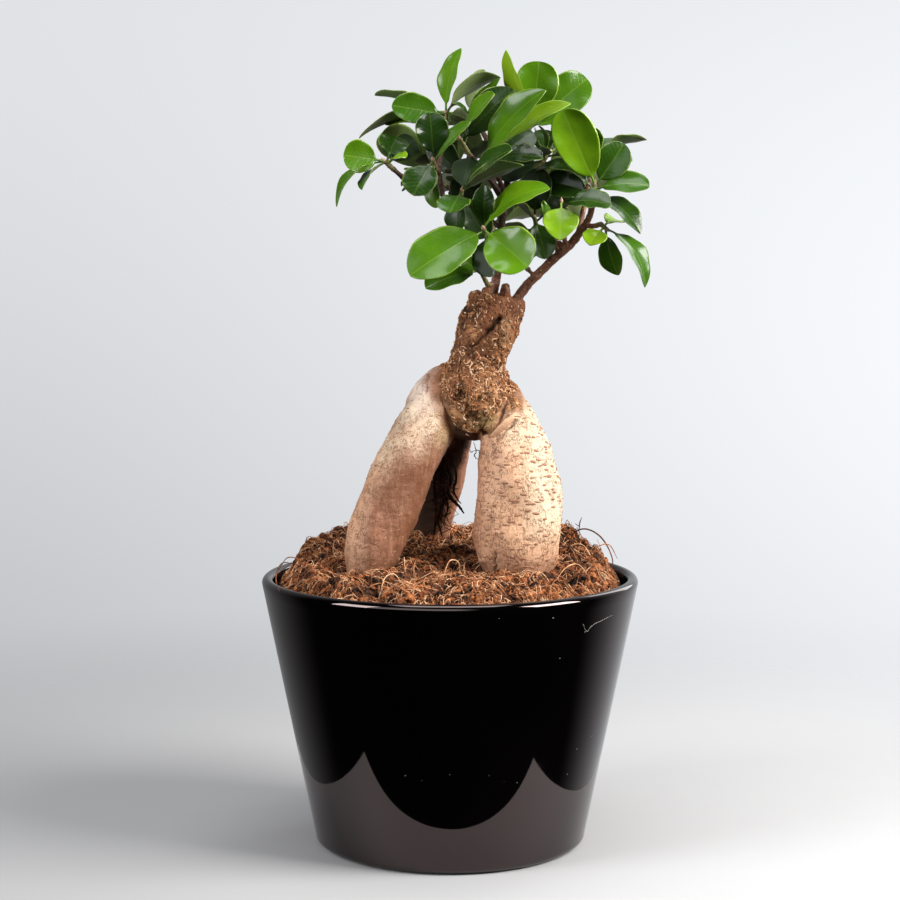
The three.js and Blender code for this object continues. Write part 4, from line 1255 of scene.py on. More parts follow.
# Loose strips and a stub of bark: stations and tone
BARK_STRIPS = (
    (((2.5, -9.5, 215.4, 0.7, 0.6), (6, -11.5, 212.6, 1.1, 0.8),
      (9.5, -12.5, 211, 0.9, 0.7), (12.2, -12.5, 210.4, 0.4, 0.4)), 0.9),
    (((21.4, -24.0, 210.8, 1.7, 0.45), (24.7, -25.7, 214.6, 1.9, 0.55),
      (28.5, -26.4, 218.6, 1.7, 0.55), (31.8, -25.8, 221.6, 1.1, 0.4)), 1.15),
    (((28.6, -8.5, 282.5, 1.5, 1.2), (28.2, -9, 284.6, 1.5, 1.3), (28, -9.2, 286.4, 0.6, 0.6)), 0.2),
)
# Rootlets that hang in the arch: places and radius
ROOTLETS = (
    (((-2, 6, 204), (1, 5, 199.5), (4, 4, 200.5), (5.6, 4, 197), (3.8, 4, 193.6), (1, 5, 195)), 0.35),
    (((-1, 8, 206), (-2.5, 7, 196), (0.5, 5, 187), (-1, 4, 179),
      (2.4, 2, 175), (5, 0.5, 172.5), (7.2, 0, 169.6)), 1.0),
    (((0.5, 7, 196), (3.4, 5, 189), (2, 4, 181), (5.4, 2, 174)), 0.7),
    (((-4, 8, 200), (-5, 6, 188), (-3, 5, 177), (-6, 5, 166), (-4, 5, 156)), 0.8),
    (((-6, 8, 196), (-8, 6, 182), (-7, 5, 168), (-9, 6, 154)), 0.8),
    (((-2, 6, 190), (-4, 4, 182), (-1, 3, 174), (-3, 4, 164)), 0.6),
    (((12, 4, 206), (13.4, 2, 201.5), (12.6, 1, 199), (14.4, 0, 197)), 0.28),
    (((13.2, 2, 202), (11, 1, 201), (10.2, 1, 202.4)), 0.2),
    (((13.5, 2, 202), (15.6, 0, 201.5)), 0.22),
)
ARCH_HAIRS = 70


def build_bark_pieces(look):
    """Loose strips of bark, and the dark rootlets and hairs that hang in the arch."""
    shell = Shell()
    for path, tone in BARK_STRIPS:
        shell.add_rings(stem_rings(path, 12, 6), tone=tone)
    settle(shell.object("bark_strips"), strip_skin(look), "bark")
    rng = random.Random(look.seed + 21)
    hair = Shell()
    for path, radius in ROOTLETS:
        places, _ = smooth_path(path, 8)
        shake = np.array([[rng.gauss(0, 0.16) for _ in range(3)] for _ in places])
        fibre(hair, places + shake, radius, 0.0, 6)
    for _ in range(ARCH_HAIRS):
        t = rng.random()
        start = np.array((-3.5 + rng.gauss(0, 1.2), 6 + rng.gauss(0, 2), 200 - 34 * t))
        drop = rng.uniform(4, 12)
        path = [start + (rng.gauss(0, 1.4) * k, rng.gauss(0, 1.0) * k, -drop * k / 3) for k in range(4)]
        fibre(hair, path, rng.uniform(0.15, 0.4), 0.0, 4)
    settle(hair.object("dark_rootlets"), coir(bpy.context.scene.ficus_soil), "soil")


def root_colour(nodes, look, place, streaks, flecks):
    """Colour of the smooth roots, with the masks of their fine scribbles and of their breathing pores."""
    blush = nodes.attribute("blush")
    leg = mottled(nodes, nodes.stretch(place, 1, 1, 0.45), 52.0, look.leg_dark, look.leg_light)
    # Painted shade on the left root, in the dark root colour.
    leg = nodes.veil(leg, nodes.attribute("brown"), 0.6, look.leg_dark)
    # Painted light on the right root and on the left root's edge.
    lit = nodes.times(nodes.attribute("lit"), nodes.band(flecks, -0.05, 0.55))
    leg = nodes.mix(lit, leg, rgb(look.lit))
    leg = nodes.mix(blush, leg, rgb(look.blush))
    leg = nodes.veil(leg, nodes.band(streaks, 0.5, 0.68), 0.24, look.leg_pale)
    leg = nodes.veil(leg, nodes.band(streaks, 0.5, 0.34), 0.42, look.leg_dark)
    # Cream painted highlight on the lit parts of the roots.
    cream = nodes.times(nodes.attribute("cream"), nodes.scaled(flecks, 0.8, 0.45))
    leg = nodes.mix(cream, leg, rgb(look.cream))
    leg = nodes.veil(leg, nodes.attribute("rust"), 0.75, look.rust)
    leg = nodes.veil(leg, nodes.attribute("tinge"), 0.4, look.tinge)
    scribble = nodes.noise(nodes.stretch(place, 1, 1, 0.55), 780.0, 2.0, 0.6)
    line = nodes.band(nodes.math("ABSOLUTE", nodes.minus(scribble, 0.5)), 0.06, 0.02)
    marks = nodes.times(line, nodes.band(nodes.noise(place, 260.0, 2.0), 0.38, 0.55))
    leg = nodes.mix(nodes.times(marks, nodes.scaled(blush, -0.45, 0.75)), leg, rgb(look.leg_dark))
    dashes = dashed(nodes, nodes.stretch(place, 0.45, 0.45, 1.7), 330.0, 0.35)
    return nodes.veil(leg, dashes, 0.6, look.pore), marks, dashes


def neck_colour(nodes, look, place, flecks):
    """Colour of the corky neck: plates with pale painted highlights on their crests, red-brown patches and
    cream flecks.
    """
    neck = mottled(nodes, nodes.stretch(place, 1, 1, 0.7), 130.0, look.neck_dark, look.neck_light)
    # Painted highlight in the crest colour where the cork is raised.
    neck = nodes.veil(neck, nodes.attribute("crest"), 0.75, look.neck_crest)
    patches = nodes.noise(nodes.stretch(place, 1, 1, 0.6), 34.0, 2.0, 0.5)
    neck = nodes.veil(neck, nodes.band(patches, 0.48, 0.62), 0.55, look.neck_red)
    specks = dashed(nodes, nodes.stretch(place, 1, 0.9, 0.7), 430.0, 0.3)
    neck = nodes.veil(neck, specks, 0.8, look.fleck)
    low = nodes.times(nodes.attribute("low"), nodes.band(flecks, 0.3, 0.62))
    neck = nodes.mix(low, neck, rgb(look.neck_low))
    return nodes.veil(neck, nodes.attribute("tinge"), 0.55, look.tinge)


# Colour of the painted shade in hollows, creases, the arch and under the lobe.
PAINTED_SHADE_BROWN = (0.035, 0.016, 0.008)
# Colour of the roots where they darken towards the soil.
NEAR_SOIL_BROWN = (0.09, 0.045, 0.022)


def bark(look):
    """The skin of the rootstock: smooth roots, and cork where the neck begins."""

    def build(nodes):
        place = nodes.place()
        cork, hollow = nodes.attribute("cork"), nodes.attribute("hollow")
        streaks = nodes.noise(nodes.stretch(place, 1, 1, 0.1), 700.0, 4.0, 0.7)
        flecks = nodes.noise(nodes.stretch(place, 0.55, 0.55, 1.6), 620.0, 3.0, 0.6)
        leg, marks, dashes = root_colour(nodes, look, place, streaks, flecks)
        colour = nodes.mix(cork, leg, neck_colour(nodes, look, place, flecks))
        # Painted shade in the hollows, creases and arch and under the lobe.
        colour = nodes.veil(colour, hollow, 0.85, PAINTED_SHADE_BROWN)
        # Darker towards the soil.
        colour = nodes.veil(colour, nodes.attribute("damp"), 0.5, NEAR_SOIL_BROWN)
        # Painted shade between the curled ridges of the cork, in the dark neck colour.
        curls = nodes.noise(nodes.stretch(place, 1, 1, 0.8), 620.0, 4.0, 0.7)
        ridge = nodes.math("ABSOLUTE", nodes.minus(curls, 0.5))
        colour = nodes.mix(nodes.times(cork, nodes.band(ridge, 0.06, 0.13)), colour, rgb(look.neck_dark))
        height = nodes.scaled(dashes, 0.6, nodes.scaled(streaks, 0.7, flecks))
        height = nodes.scaled(marks, -0.7, height)
        height = nodes.mix(cork, height, nodes.scaled(ridge, -6.0, flecks))
        rough = nodes.scaled(cork, 0.15, nodes.scaled(streaks, 0.2, 0.42))
        return {
            "Base_Color": colour,
            "Roughness": nodes.scaled(hollow, 0.35, rough),
            "Normal": nodes.bump(height, 0.45, 0.0005),
        }

    return surface("Ficus bark", build, Specular_IOR_Level=0.3)


def pore_skin(look):
    """Breathing pores, darker at their foot."""

    def build(nodes):
        fine = nodes.noise(nodes.place(), 900.0, 3.0)
        light = nodes.scaled(fine, 0.5, nodes.times(nodes.attribute("tone"), 0.6))
        colour = nodes.mix(light, rgb(look.pore), rgb(look.leg_light))
        colour = nodes.veil(colour, nodes.attribute("foot"), 0.6, look.neck_dark)
        return plain_finish(nodes, colour, fine, 0.5, 0.4)

    return surface("Bark pores", build, Specular_IOR_Level=0.35)


def flake_skin(look):
    """Cork from dark plates to pale curls."""

    def build(nodes):
        fine = nodes.noise(nodes.place(), 1100.0, 3.0)
        level = nodes.scaled(nodes.minus(fine, 0.5), 0.4, nodes.attribute("tone"))
        stops = [(0.0, look.neck_dark), (0.55, look.neck_light), (0.75, look.neck_crest), (1.0, look.fleck)]
        return plain_finish(nodes, nodes.ramp(level, stops), fine, 0.55, 0.5)

    return surface("Cork flakes", build, Specular_IOR_Level=0.3)


def strip_skin(look):
    """Loose bark, from the dark stub to the cream strip."""

    def build(nodes):
        fine = nodes.noise(nodes.stretch(nodes.place(), 1, 1, 3), 500.0, 4.0)
        level = nodes.scaled(fine, 0.35, nodes.scaled(nodes.attribute("tone"), 0.6, -0.12))
        stops = [(0.0, look.neck_dark), (0.45, look.leg_light), (0.8, look.lit), (1.0, look.cream)]
        return plain_finish(nodes, nodes.ramp(level, stops), fine, 0.55, 0.5, 0.0004)

    return surface("Loose bark", build, Specular_IOR_Level=0.35)


# Limbs and young stems

LIMB_THICKNESS = {"leader": 0.9, "limb": 0.86}


def build_limbs(look):
    """The two grafted limbs with their twigs, slimmer than the solids that they stand for."""
    for node, limb in (("limb_centre", CENTRE_LIMB), ("limb_right", RIGHT_LIMB)):
        shell = Shell()
        for part, twig in limb.items():
            slim = LIMB_THICKNESS.get(part, look.slim)
            shell.add_rings(stem_rings([(x, y, z, r * slim) for x, y, z, r in twig], 18, 8))
        body = weld(shell.object(node + "_bark"), look.twig_skin, 2)
        points, normals = read_points(body.data)
        rings = np.abs(grain(points * (0.25, 0.25, 1.0), 1.5, 2.0, 2))
        knots = np.clip(grain(points, 3.4, 4.0, 2), 0, 1)
        relief = 0.5 * knots + 0.22 * rings + 0.1 * grain(points, 0.9, 6.0, 2)
        write_points(body.data, points + normals * relief[:, None])
        paint(body.data, "knot", np.clip(knots * 1.4, 0, 1))
        # Painted shade on the centre limb where it runs inside the crown.
        inside = smoothstep(points[:, 2], 292, 312) if limb is CENTRE_LIMB else np.zeros(len(points))
        paint(body.data, "inside", inside)
        settle(body, twig_bark(look), "twig", node)


def twig_bark(look):
    """Brown bark of the limbs with pale flecks, and painted shade inside the crown."""
    if "Twig bark" in bpy.data.materials:
        return bpy.data.materials["Twig bark"]

    def build(nodes):
        place = nodes.place()
        shade = [c * 0.3 for c in look.twig_dark]
        specks = dashed(nodes, nodes.stretch(place, 1, 1, 1.4), 520.0, 0.4)
        colour = mottled(nodes, place, 170.0, look.twig_dark, look.twig_light)
        colour = nodes.veil(colour, specks, 0.7, look.fleck)
        colour = nodes.veil(colour, nodes.attribute("knot"), 0.4, look.twig_light)
        # Painted shade inside the crown.
        colour = nodes.veil(colour, nodes.attribute("inside"), 0.8, shade)
        fine = nodes.noise(place, 800.0, 4.0, 0.6)
        return {
            "Base_Color": colour,
            "Roughness": nodes.scaled(fine, 0.25, 0.45),
            "Normal": nodes.bump(nodes.math("ADD", fine, specks), 0.5, 0.0004),
        }

    return surface("Twig bark", build, Specular_IOR_Level=0.4)


# Leafy shoots

# How fast a blade of each form widens from its stalk, and how blunt its tip is
FORMS = {"round": (0.62, 0.42), "oval": (0.66, 0.52), "slim": (0.7, 0.72)}
BLADE_ROWS = (
    0.0, 0.015, 0.04, 0.08, 0.13, 0.2, 0.28, 0.36, 0.45, 0.54,
    0.62, 0.7, 0.77, 0.84, 0.9, 0.945, 0.975, 0.992, 1.0,
)
HALF_COLUMNS = (0.05, 0.13, 0.28, 0.46, 0.64, 0.8, 0.92)
STALK_LENGTH = 4.5
STALK_RADIUS = 0.58
VEIN_SPACING = 2.35


def inside_crown(points):
    """1 in the heart of the crown, 0 at its outer leaves: where the leaves get painted shade."""
    return 1 - smoothstep(np.linalg.norm((points - (8, 10, 332)) / (64, 34, 50), axis=1), 0.45, 1.05)


def leaf(shell, base, tip, width, face, arch, form, tone, rng):
    """A thick glossy blade on a short stalk, with a groove along the middle and a rib under it."""
    base, tip, face = (np.array(v, float) for v in (base, tip, face))
    length = np.linalg.norm(tip - base)
    way = (tip - base) / length
    face = unit(face - way * face.dot(way))
    side = np.cross(way, face)
    widen, blunt = FORMS[form]
    widest = widen / (widen + blunt)
    stalk = STALK_LENGTH / length
    columns = np.array([-1.0, *[-c for c in reversed(HALF_COLUMNS)], 0.0, *HALF_COLUMNS, 1.0])
    across = np.concatenate((columns, columns[-2:0:-1]))
    under = np.concatenate((np.zeros(len(columns)), np.ones(len(columns) - 2)))
    sign = 1 - 2 * under
    upper, lower = np.linspace(math.pi, 0, len(columns)), -np.linspace(0, math.pi, len(columns))[1:-1]
    round_turns = np.concatenate((upper, lower))
    waves, phase, lean = rng.uniform(1.5, 2.6), rng.uniform(0, 6.3), rng.gauss(0, 0.5)
    twist, nod = rng.gauss(0, 0.05), rng.uniform(0.0, 1.0)
    rows, values = [], {"across": [], "along": [], "rim": [], "under": [], "deep": []}

    def centre(u):
        return base + (tip - base) * u + face * (4 * arch * length * u * (1 - u))

    def put(u, x, z, v):
        c, s = math.cos(twist * v), math.sin(twist * v)
        middle = centre(u) - face * (nod * v**4)
        rows.append(middle + np.outer(x * c - z * s, side) + np.outer(z * c + x * s, face))
        values["across"].append(x)
        values["along"].append(np.full(len(x), u * length))
        values["rim"].append(np.abs(across) * (1 if v > 0.04 else 0))
        values["under"].append(under)
        values["deep"].append(inside_crown(rows[-1]))

    for u in (0.0, stalk * 0.35, stalk * 0.7):
        put(u, STALK_RADIUS * np.cos(round_turns), STALK_RADIUS * np.sin(round_turns), 0.0)
    for v in BLADE_ROWS:
        swell = (v / widest) ** widen * (max(0.0, 1 - v) / (1 - widest)) ** blunt if v > 0 else 0.0
        half = max(width / 2 * swell, 0.15)
        roundness = 1 - float(smoothstep(v, 0.0, 0.14))
        spread = np.abs(across)
        off = spread * half
        thick = 0.27 * np.sqrt(np.clip(1 - spread**6, 0, 1)) + 0.02
        flat = 0.24 * half * spread**2 + sign * thick * (spread < 0.999)
        flat = flat - (1 - under) * 0.2 * (1 - v) * np.exp(-((off / 0.4) ** 2))
        flat = flat - under * (0.42 * (1 - v) + 0.08) * np.exp(-((off / 0.5) ** 2))
        flat = flat + 0.07 * half * np.sin(FULL_TURN * waves * v + phase + across) * spread**2
        flat = flat + 0.05 * half * lean * across * v
        x = np.sign(across) * np.sqrt(off**2 + (roundness * STALK_RADIUS * np.cos(round_turns)) ** 2)
        z = flat * (1 - roundness) + roundness * STALK_RADIUS * np.sin(round_turns)
        put(stalk + (1 - stalk) * v, x, z, v)
    shell.add_rings(rows, tone=tone, **{key: np.concatenate(part) for key, part in values.items()})


def stem_line(limb, twig, bud):
    """The line of a shoot's stem: straight out of the twig, then on to the bud."""
    before, end = (np.array(p[:3], float) for p in limb[twig][-2:])
    onward = unit(end - before)
    bud = np.array(bud, float)
    bend = end + onward * 1.8
    return end - onward * 1.2, bend, bud


def leaf_base(bend, bud, i, count):
    """Where a leaf leaves its stem: the first next to the bud, the last near the twig."""
    return bend + (bud - bend) * (0.97 - 0.75 * i / count)


def placed_leaves(rows, bend, bud):
    """The leaves of a shoot that are given one by one."""
    for i, (x, y, z, width, fx, fy, fz, arch, form, tone) in enumerate(rows):
        yield leaf_base(bend, bud, i, len(rows)), (x, y, z), width, (fx, fy, fz), arch, form, tone


def spiral_leaves(limb, twig, bend, bud, count, length, turn, rng):
    """The leaves of a shoot that follow a spiral, each one golden turn further round."""
    axis = unit(bud - np.array(limb[twig][-1][:3], float))
    across = unit(np.array((1.0, 0, 0)) - axis * axis[0])
    deep = np.cross(axis, across)
    for i in range(count):
        angle = math.radians(turn + GOLDEN_TURN * i)
        out = across * math.cos(angle) + deep * math.sin(angle)
        rise = 0.9 - 1.3 * i / count
        reach = length * (0.75 + 0.25 * math.sin(1.7 * i + turn))
        tip = bud + unit(out + axis * rise) * reach
        tone = 0.28 + rng.uniform(-0.12, 0.16) + (0.3 if i < 2 else 0)
        form = "round" if i % 3 == 1 else "oval"
        yield leaf_base(bend, bud, i, count), tip, reach * 0.56, axis - out * rise, 0.07, form, tone


def build_shoots(look):
    """The leaves of each shoot as one piece, and all young stems with their buds as another."""
    rng = random.Random(look.seed)
    blades = leaf_skin(look)
    stems = Shell()
    for name, (limb, twig, bud, *rest) in {**SHOOTS, **SPIRAL_SHOOTS}.items():
        start, bend, bud = stem_line(limb, twig, bud)
        if name in SHOOTS:
            leaves = placed_leaves(*rest, bend, bud)
        else:
            leaves = spiral_leaves(limb, twig, bend, bud, *rest, rng)
        shell = Shell()
        for one in leaves:
            leaf(shell, *one, rng)
        for x, y, z, width, *face, arch, form, tone in DEEP_LEAVES.get(name, ()):
            leaf(shell, bend + (bud - bend) * 0.45, (x, y, z), width, face, arch, form, tone, rng)
        settle(shell.object(name.replace("shoot", "leaves")), blades, "leaf", name)
        shoot_stem(stems, start, bend, bud)
    settle(stems.object("young_stems"), young_stem_skin(look), "twig")


def shoot_stem(shell, start, bend, bud):
    """A young stem with a swelling at each leaf and a pointed bud at its end."""
    line = [(*start, 1.25), (*bend, 1.3), (*(bend + (bud - bend) * 0.5), 1.15), (*bud, 1.0)]

    def joints(turns, place):
        run = np.linalg.norm(place - bend)
        return np.full(len(turns), 1 + 0.13 * max(0.0, math.cos(run * FULL_TURN / 2.6)) ** 3)

    rings = stem_rings(line, 12, 12, joints)
    shell.add_rings(rings, tone=0.3)
    beyond = unit(bud - bend)
    sheath = max(2.2, np.linalg.norm(bud - bend) * 0.3)
    tips = ((-0.35, 0.7), (0.0, 1.05), (0.3, 1.0), (0.65, 0.62), (0.98, 0.12))
    shell.add_rings(stem_rings([(*(bud + beyond * sheath * k), r) for k, r in tips], 10, 4), tone=0.95)


def leaf_skin(look):
    """Glossy leaves with midrib, side veins and pale margin, paler below, with painted shade inside the
    crown.
    """

    def build(nodes):
        place = nodes.place()
        tone, under, deep = nodes.attribute("tone"), nodes.attribute("under"), nodes.attribute("deep")
        off = nodes.math("ABSOLUTE", nodes.attribute("across"))
        drift = nodes.noise(place, 60.0, 3.0, 0.6)
        level = nodes.scaled(nodes.minus(drift, 0.5), 0.3, tone)
        top = nodes.ramp(level, [(0.0, look.old), (0.4, look.grown), (0.7, look.fresh), (1.0, look.young)])
        pale = nodes.mix(nodes.band(level, 0.1, 0.9, False), rgb(look.under_old), rgb(look.under_young))
        slant = nodes.minus(nodes.attribute("along"), nodes.times(off, 0.62))
        wobble = nodes.scaled(nodes.noise(place, 160.0, 2.0), 0.5, slant)
        strip = nodes.math("FRACT", nodes.math("DIVIDE", wobble, VEIN_SPACING))
        gap = nodes.math("ABSOLUTE", nodes.minus(strip, 0.5))
        lateral = nodes.minus(1.0, nodes.band(gap, 0.0, 0.11))
        midrib = nodes.minus(1.0, nodes.band(off, 0.12, 0.5))
        top = nodes.veil(top, lateral, 0.05, look.vein)
        top = nodes.mix(nodes.times(midrib, nodes.scaled(tone, 0.2, 0.1)), top, rgb(look.vein))
        raised = nodes.math("MAXIMUM", midrib, nodes.times(lateral, 0.4))
        pale = nodes.veil(pale, raised, 0.5, look.vein)
        blade = nodes.mix(under, top, pale)
        edge = nodes.band(nodes.attribute("rim"), 0.91, 0.99)
        blade = nodes.mix(nodes.times(edge, nodes.scaled(tone, 0.5, 0.42)), blade, rgb(look.vein))
        # Painted shade on the leaves inside the crown.
        blade = nodes.veil(blade, deep, 0.7, look.deep)
        pores = nodes.noise(place, 1400.0, 2.0)
        height = nodes.scaled(lateral, -0.18, nodes.times(pores, 0.1))
        height = nodes.scaled(nodes.noise(place, 110.0, 1.0), 3.2, height)
        sheen = nodes.noise(place, 34.0, 3.0, 0.6)
        rough = nodes.scaled(sheen, 0.22, look.roughness)
        return {
            "Base_Color": blade,
            "Roughness": nodes.scaled(deep, 0.35, nodes.scaled(under, 0.2, rough)),
            "Coat_Weight": nodes.scaled(deep, -0.12, nodes.scaled(under, -0.14, 0.16)),
            "Normal": nodes.bump(height, 0.28, 0.00035),
        }

    return surface(
        "Ficus leaf",
        build,
        Coat_Roughness=0.08,
        Specular_IOR_Level=0.3,
        Subsurface_Weight=look.glow,
        Subsurface_Radius=(0.9, 1.0, 0.25),
        Subsurface_Scale=0.0012,
    )


def young_stem_skin(look):
    """Young stems from brown to green, with pinkish buds."""

    def build(nodes):
        fine = nodes.noise(nodes.place(), 300.0, 3.0)
        level = nodes.scaled(nodes.minus(fine, 0.5), 0.5, nodes.attribute("tone"))
        colour = nodes.ramp(level, [(0.0, look.stem_brown), (0.45, look.stem_green), (1.0, look.bud)])
        return plain_finish(nodes, colour, fine, 0.35, 0.3)

    return surface("Young stem", build, Coat_Weight=0.15)


# Floor, light and camera

# Softboxes: name, place, aim, width, height, power, colour
LAMPS = (
    ("key_softbox", (1.06, -0.42, 0.85), (0.02, 0, 0.24), 0.75, 0.6, 32.0, (1.0, 0.98, 0.95)),
    ("fill_softbox", (-1.15, -0.65, 0.75), (0, 0, 0.22), 0.6, 0.8, 15.0, (0.98, 0.99, 1.0)),
    ("top_softbox", (0.0, -0.1, 1.35), (0, 0, 0.2), 0.8, 0.6, 7.0, (1.0, 1.0, 1.0)),
    ("rim_softbox", (0.8, 0.95, 0.75), (0.05, 0, 0.25), 0.4, 0.8, 3.0, (1.0, 1.0, 1.0)),
)
# Corners of the part of the floor that glossy surfaces mirror
NEAR_FLOOR = ((-0.135, -0.1055), (0.127, -0.1055), (0.127, 0.16), (-0.135, 0.16))
FLOOR_DROP = 0.0004
CAMERA_PLACE = (0.0, -1.090, 0.309)
CAMERA_DIP = 5.6
CAMERA_LENS = 85.6


def build_stage(look):
    """Floor, backdrop, lamps and camera. Only the near part of the floor lights and is mirrored."""
    scene = bpy.context.scene
    scene.view_settings.view_transform = "Standard"
    skin = floor_skin(look)
    corners = [(x * look.floor_size, y * look.floor_size) for x, y in ((-1, -1), (1, -1), (1, 1), (-1, 1))]
    bands = [(i, (i + 1) % 4, 4 + (i + 1) % 4, 4 + i) for i in range(4)]
    floor_piece("floor_near", NEAR_FLOOR, [(0, 1, 2, 3)], skin)
    outer = floor_piece("floor_far", (*NEAR_FLOOR, *corners), bands, skin)
    outer.visible_glossy = False
    outer.visible_diffuse = False
    sky(look)
    for name, place, aim, width, height, power, colour in LAMPS:
        data = bpy.data.lights.new(name, "AREA")
        data.shape = "RECTANGLE"
        data.size, data.size_y = width, height
        data.energy = power * look.light
        data.color = colour
        lamp = bpy.data.objects.new(name, data)
        lamp.location = place
        lamp.rotation_euler = (Vector(aim) - Vector(place)).to_track_quat("-Z", "Y").to_euler()
        scene.collection.objects.link(lamp)
    data = bpy.data.cameras.new("Camera")
    data.lens = CAMERA_LENS
    data.sensor_width = 36.0
    data.clip_start, data.clip_end = 0.05, 30.0
    camera = bpy.data.objects.new("Camera", data)
    camera.location = CAMERA_PLACE
    camera.rotation_euler = (math.radians(90 - CAMERA_DIP), 0.0, 0.0)
    scene.collection.objects.link(camera)
    scene.camera = camera


def floor_piece(name, corners, faces, skin):
    """A flat piece of floor just below the pot, kept out of the part itself."""
    mesh = bpy.data.meshes.new(name)
    mesh.from_pydata([(x, y, -FLOOR_DROP) for x, y in corners], [], faces)
    mesh.materials.append(skin)
    piece = bpy.data.objects.new(name, mesh)
    bpy.context.scene.collection.objects.link(piece)
    return piece


def floor_skin(look):
    """A pale floor that fades into the backdrop with distance, with painted shade that darkens it to the
    left.
    """

    def build(nodes):
        place = nodes.place()
        fine = nodes.noise(place, 40.0, 3.0)
        colour = nodes.mix(fine, rgb(look.floor), rgb([c * 0.97 for c in look.floor]))
        across = nodes.put("ShaderNodeSeparateXYZ", Vector=place).outputs[0]
        # Painted shade: the floor grows darker to the left.
        colour = nodes.mix(nodes.band(across, 0.28, -0.34), colour, rgb([c * 0.7 for c in look.floor]))
        away = nodes.put("ShaderNodeVectorMath", {"operation": "LENGTH"})
        nodes.set(away.inputs[0], place)
        return {
            "Base_Color": colour,
            "Roughness": nodes.scaled(fine, 0.1, 0.55),
            "Alpha": nodes.minus(1.0, nodes.band(away.outputs["Value"], look.fade_start, look.fade_end)),
        }

    return surface("Pale floor", build, Specular_IOR_Level=0.15)


def sky(look):
    """A pale backdrop for the camera with painted shade, darker towards the bottom and the left, and a dimmer
    room for light and reflections.
    """
    world = bpy.data.worlds.new("Studio")
    bpy.context.scene.world = world
    world.use_nodes = True
    tree = world.node_tree
    tree.nodes.clear()
    nodes = Nodes(tree)
    path = nodes.put("ShaderNodeLightPath")
    way = nodes.put("ShaderNodeSeparateXYZ", Vector=nodes.put("ShaderNodeTexCoord").outputs["Generated"])
    right, ahead, up = way.outputs
    # Painted shade on the backdrop, seen only by the camera: darker towards the bottom and the left.
    side = nodes.band(right, -0.3, 0.35)
    low = nodes.times(nodes.band(up, 0.28, -0.14), 0.42)
    shade = nodes.scaled(side, low, nodes.scaled(nodes.band(up, -0.36, 0.12), 0.36, 0.5))
    seen = nodes.put("ShaderNodeBackground", Color=rgb(look.backdrop), Strength=shade)
    room = nodes.put("ShaderNodeBackground", Color=rgb(look.backdrop), Strength=look.room)
    # Glossy rays see their own world, the bright backdrop behind and a panel above the camera: a painted
    # reflection that gives no diffuse light.
    behind = nodes.times(nodes.band(ahead, 0.05, 0.95), nodes.scaled(side, 0.7, 0.35))
    high = nodes.times(nodes.band(up, 0.1, 0.26), nodes.band(up, 0.75, 0.55))
    front = nodes.times(nodes.band(ahead, -0.4, -0.7), nodes.band(right, 0.3, 0.0))
    panel = nodes.scaled(nodes.times(high, front), look.panel, look.mirror)
    glow = nodes.scaled(behind, 0.8, panel)
    mirror = nodes.put("ShaderNodeBackground", Color=rgb(look.backdrop), Strength=glow)
    result = room.outputs[0]
    for ray, other in (("Is Glossy Ray", mirror), ("Is Camera Ray", seen)):
        choice = nodes.put("ShaderNodeMixShader")
        for index, value in enumerate((path.outputs[ray], result, other.outputs[0])):
            nodes.set(choice.inputs[index], value)
        result = choice.outputs[0]
    out = nodes.put("ShaderNodeOutputWorld")
    nodes.set(out.inputs["Surface"], result)


# Settings


def colour_setting(name, description, default):
    kind = {"subtype": "COLOR", "size": 3, "min": 0, "max": 1}
    return FloatVectorProperty(name=name, description=description, default=default, **kind)


def share_setting(name, description, default):
    return FloatProperty(name=name, description=description, default=default, min=0, max=1, subtype="FACTOR")


def count_setting(name, description, default):
    return IntProperty(name=name, description=description, default=default, min=0)


def number_setting(name, description, default, smallest=0):
    return FloatProperty(name=name, description=description, default=default, min=smallest)


def length_setting(name, description, default):
    return FloatProperty(name=name, description=description, default=default, unit="LENGTH")


class FicusPot(PropertyGroup):
    colour: colour_setting("Glaze", "Colour of the pot's glaze", (0.0007, 0.0005, 0.0005))
    roughness: share_setting("Roughness", "Roughness of the glaze", 0.035)
    hair: colour_setting("Hair", "Pale hairs that cling to the glaze", (0.46, 0.44, 0.42))


class FicusSoil(PropertyGroup):
    seed: count_setting("Seed", "Start of the mound's random draws", 5)
    fibres: count_setting("Fibres", "Number of coir fibres on the mound", 5600)
    crumbs: count_setting("Crumbs", "Number of peat crumbs on the mound", 2500)
    # Also the colour of the painted shade in the pits.
    peat: colour_setting("Peat", "Darkest crumbs and pits", (0.010, 0.004, 0.002))
    brown: colour_setting("Brown", "Common colour of the mix", (0.23, 0.077, 0.029))
    orange: colour_setting("Orange", "Fresh coir", (0.56, 0.2, 0.065))
    straw: colour_setting("Straw", "Palest fibres", (0.93, 0.6, 0.36))


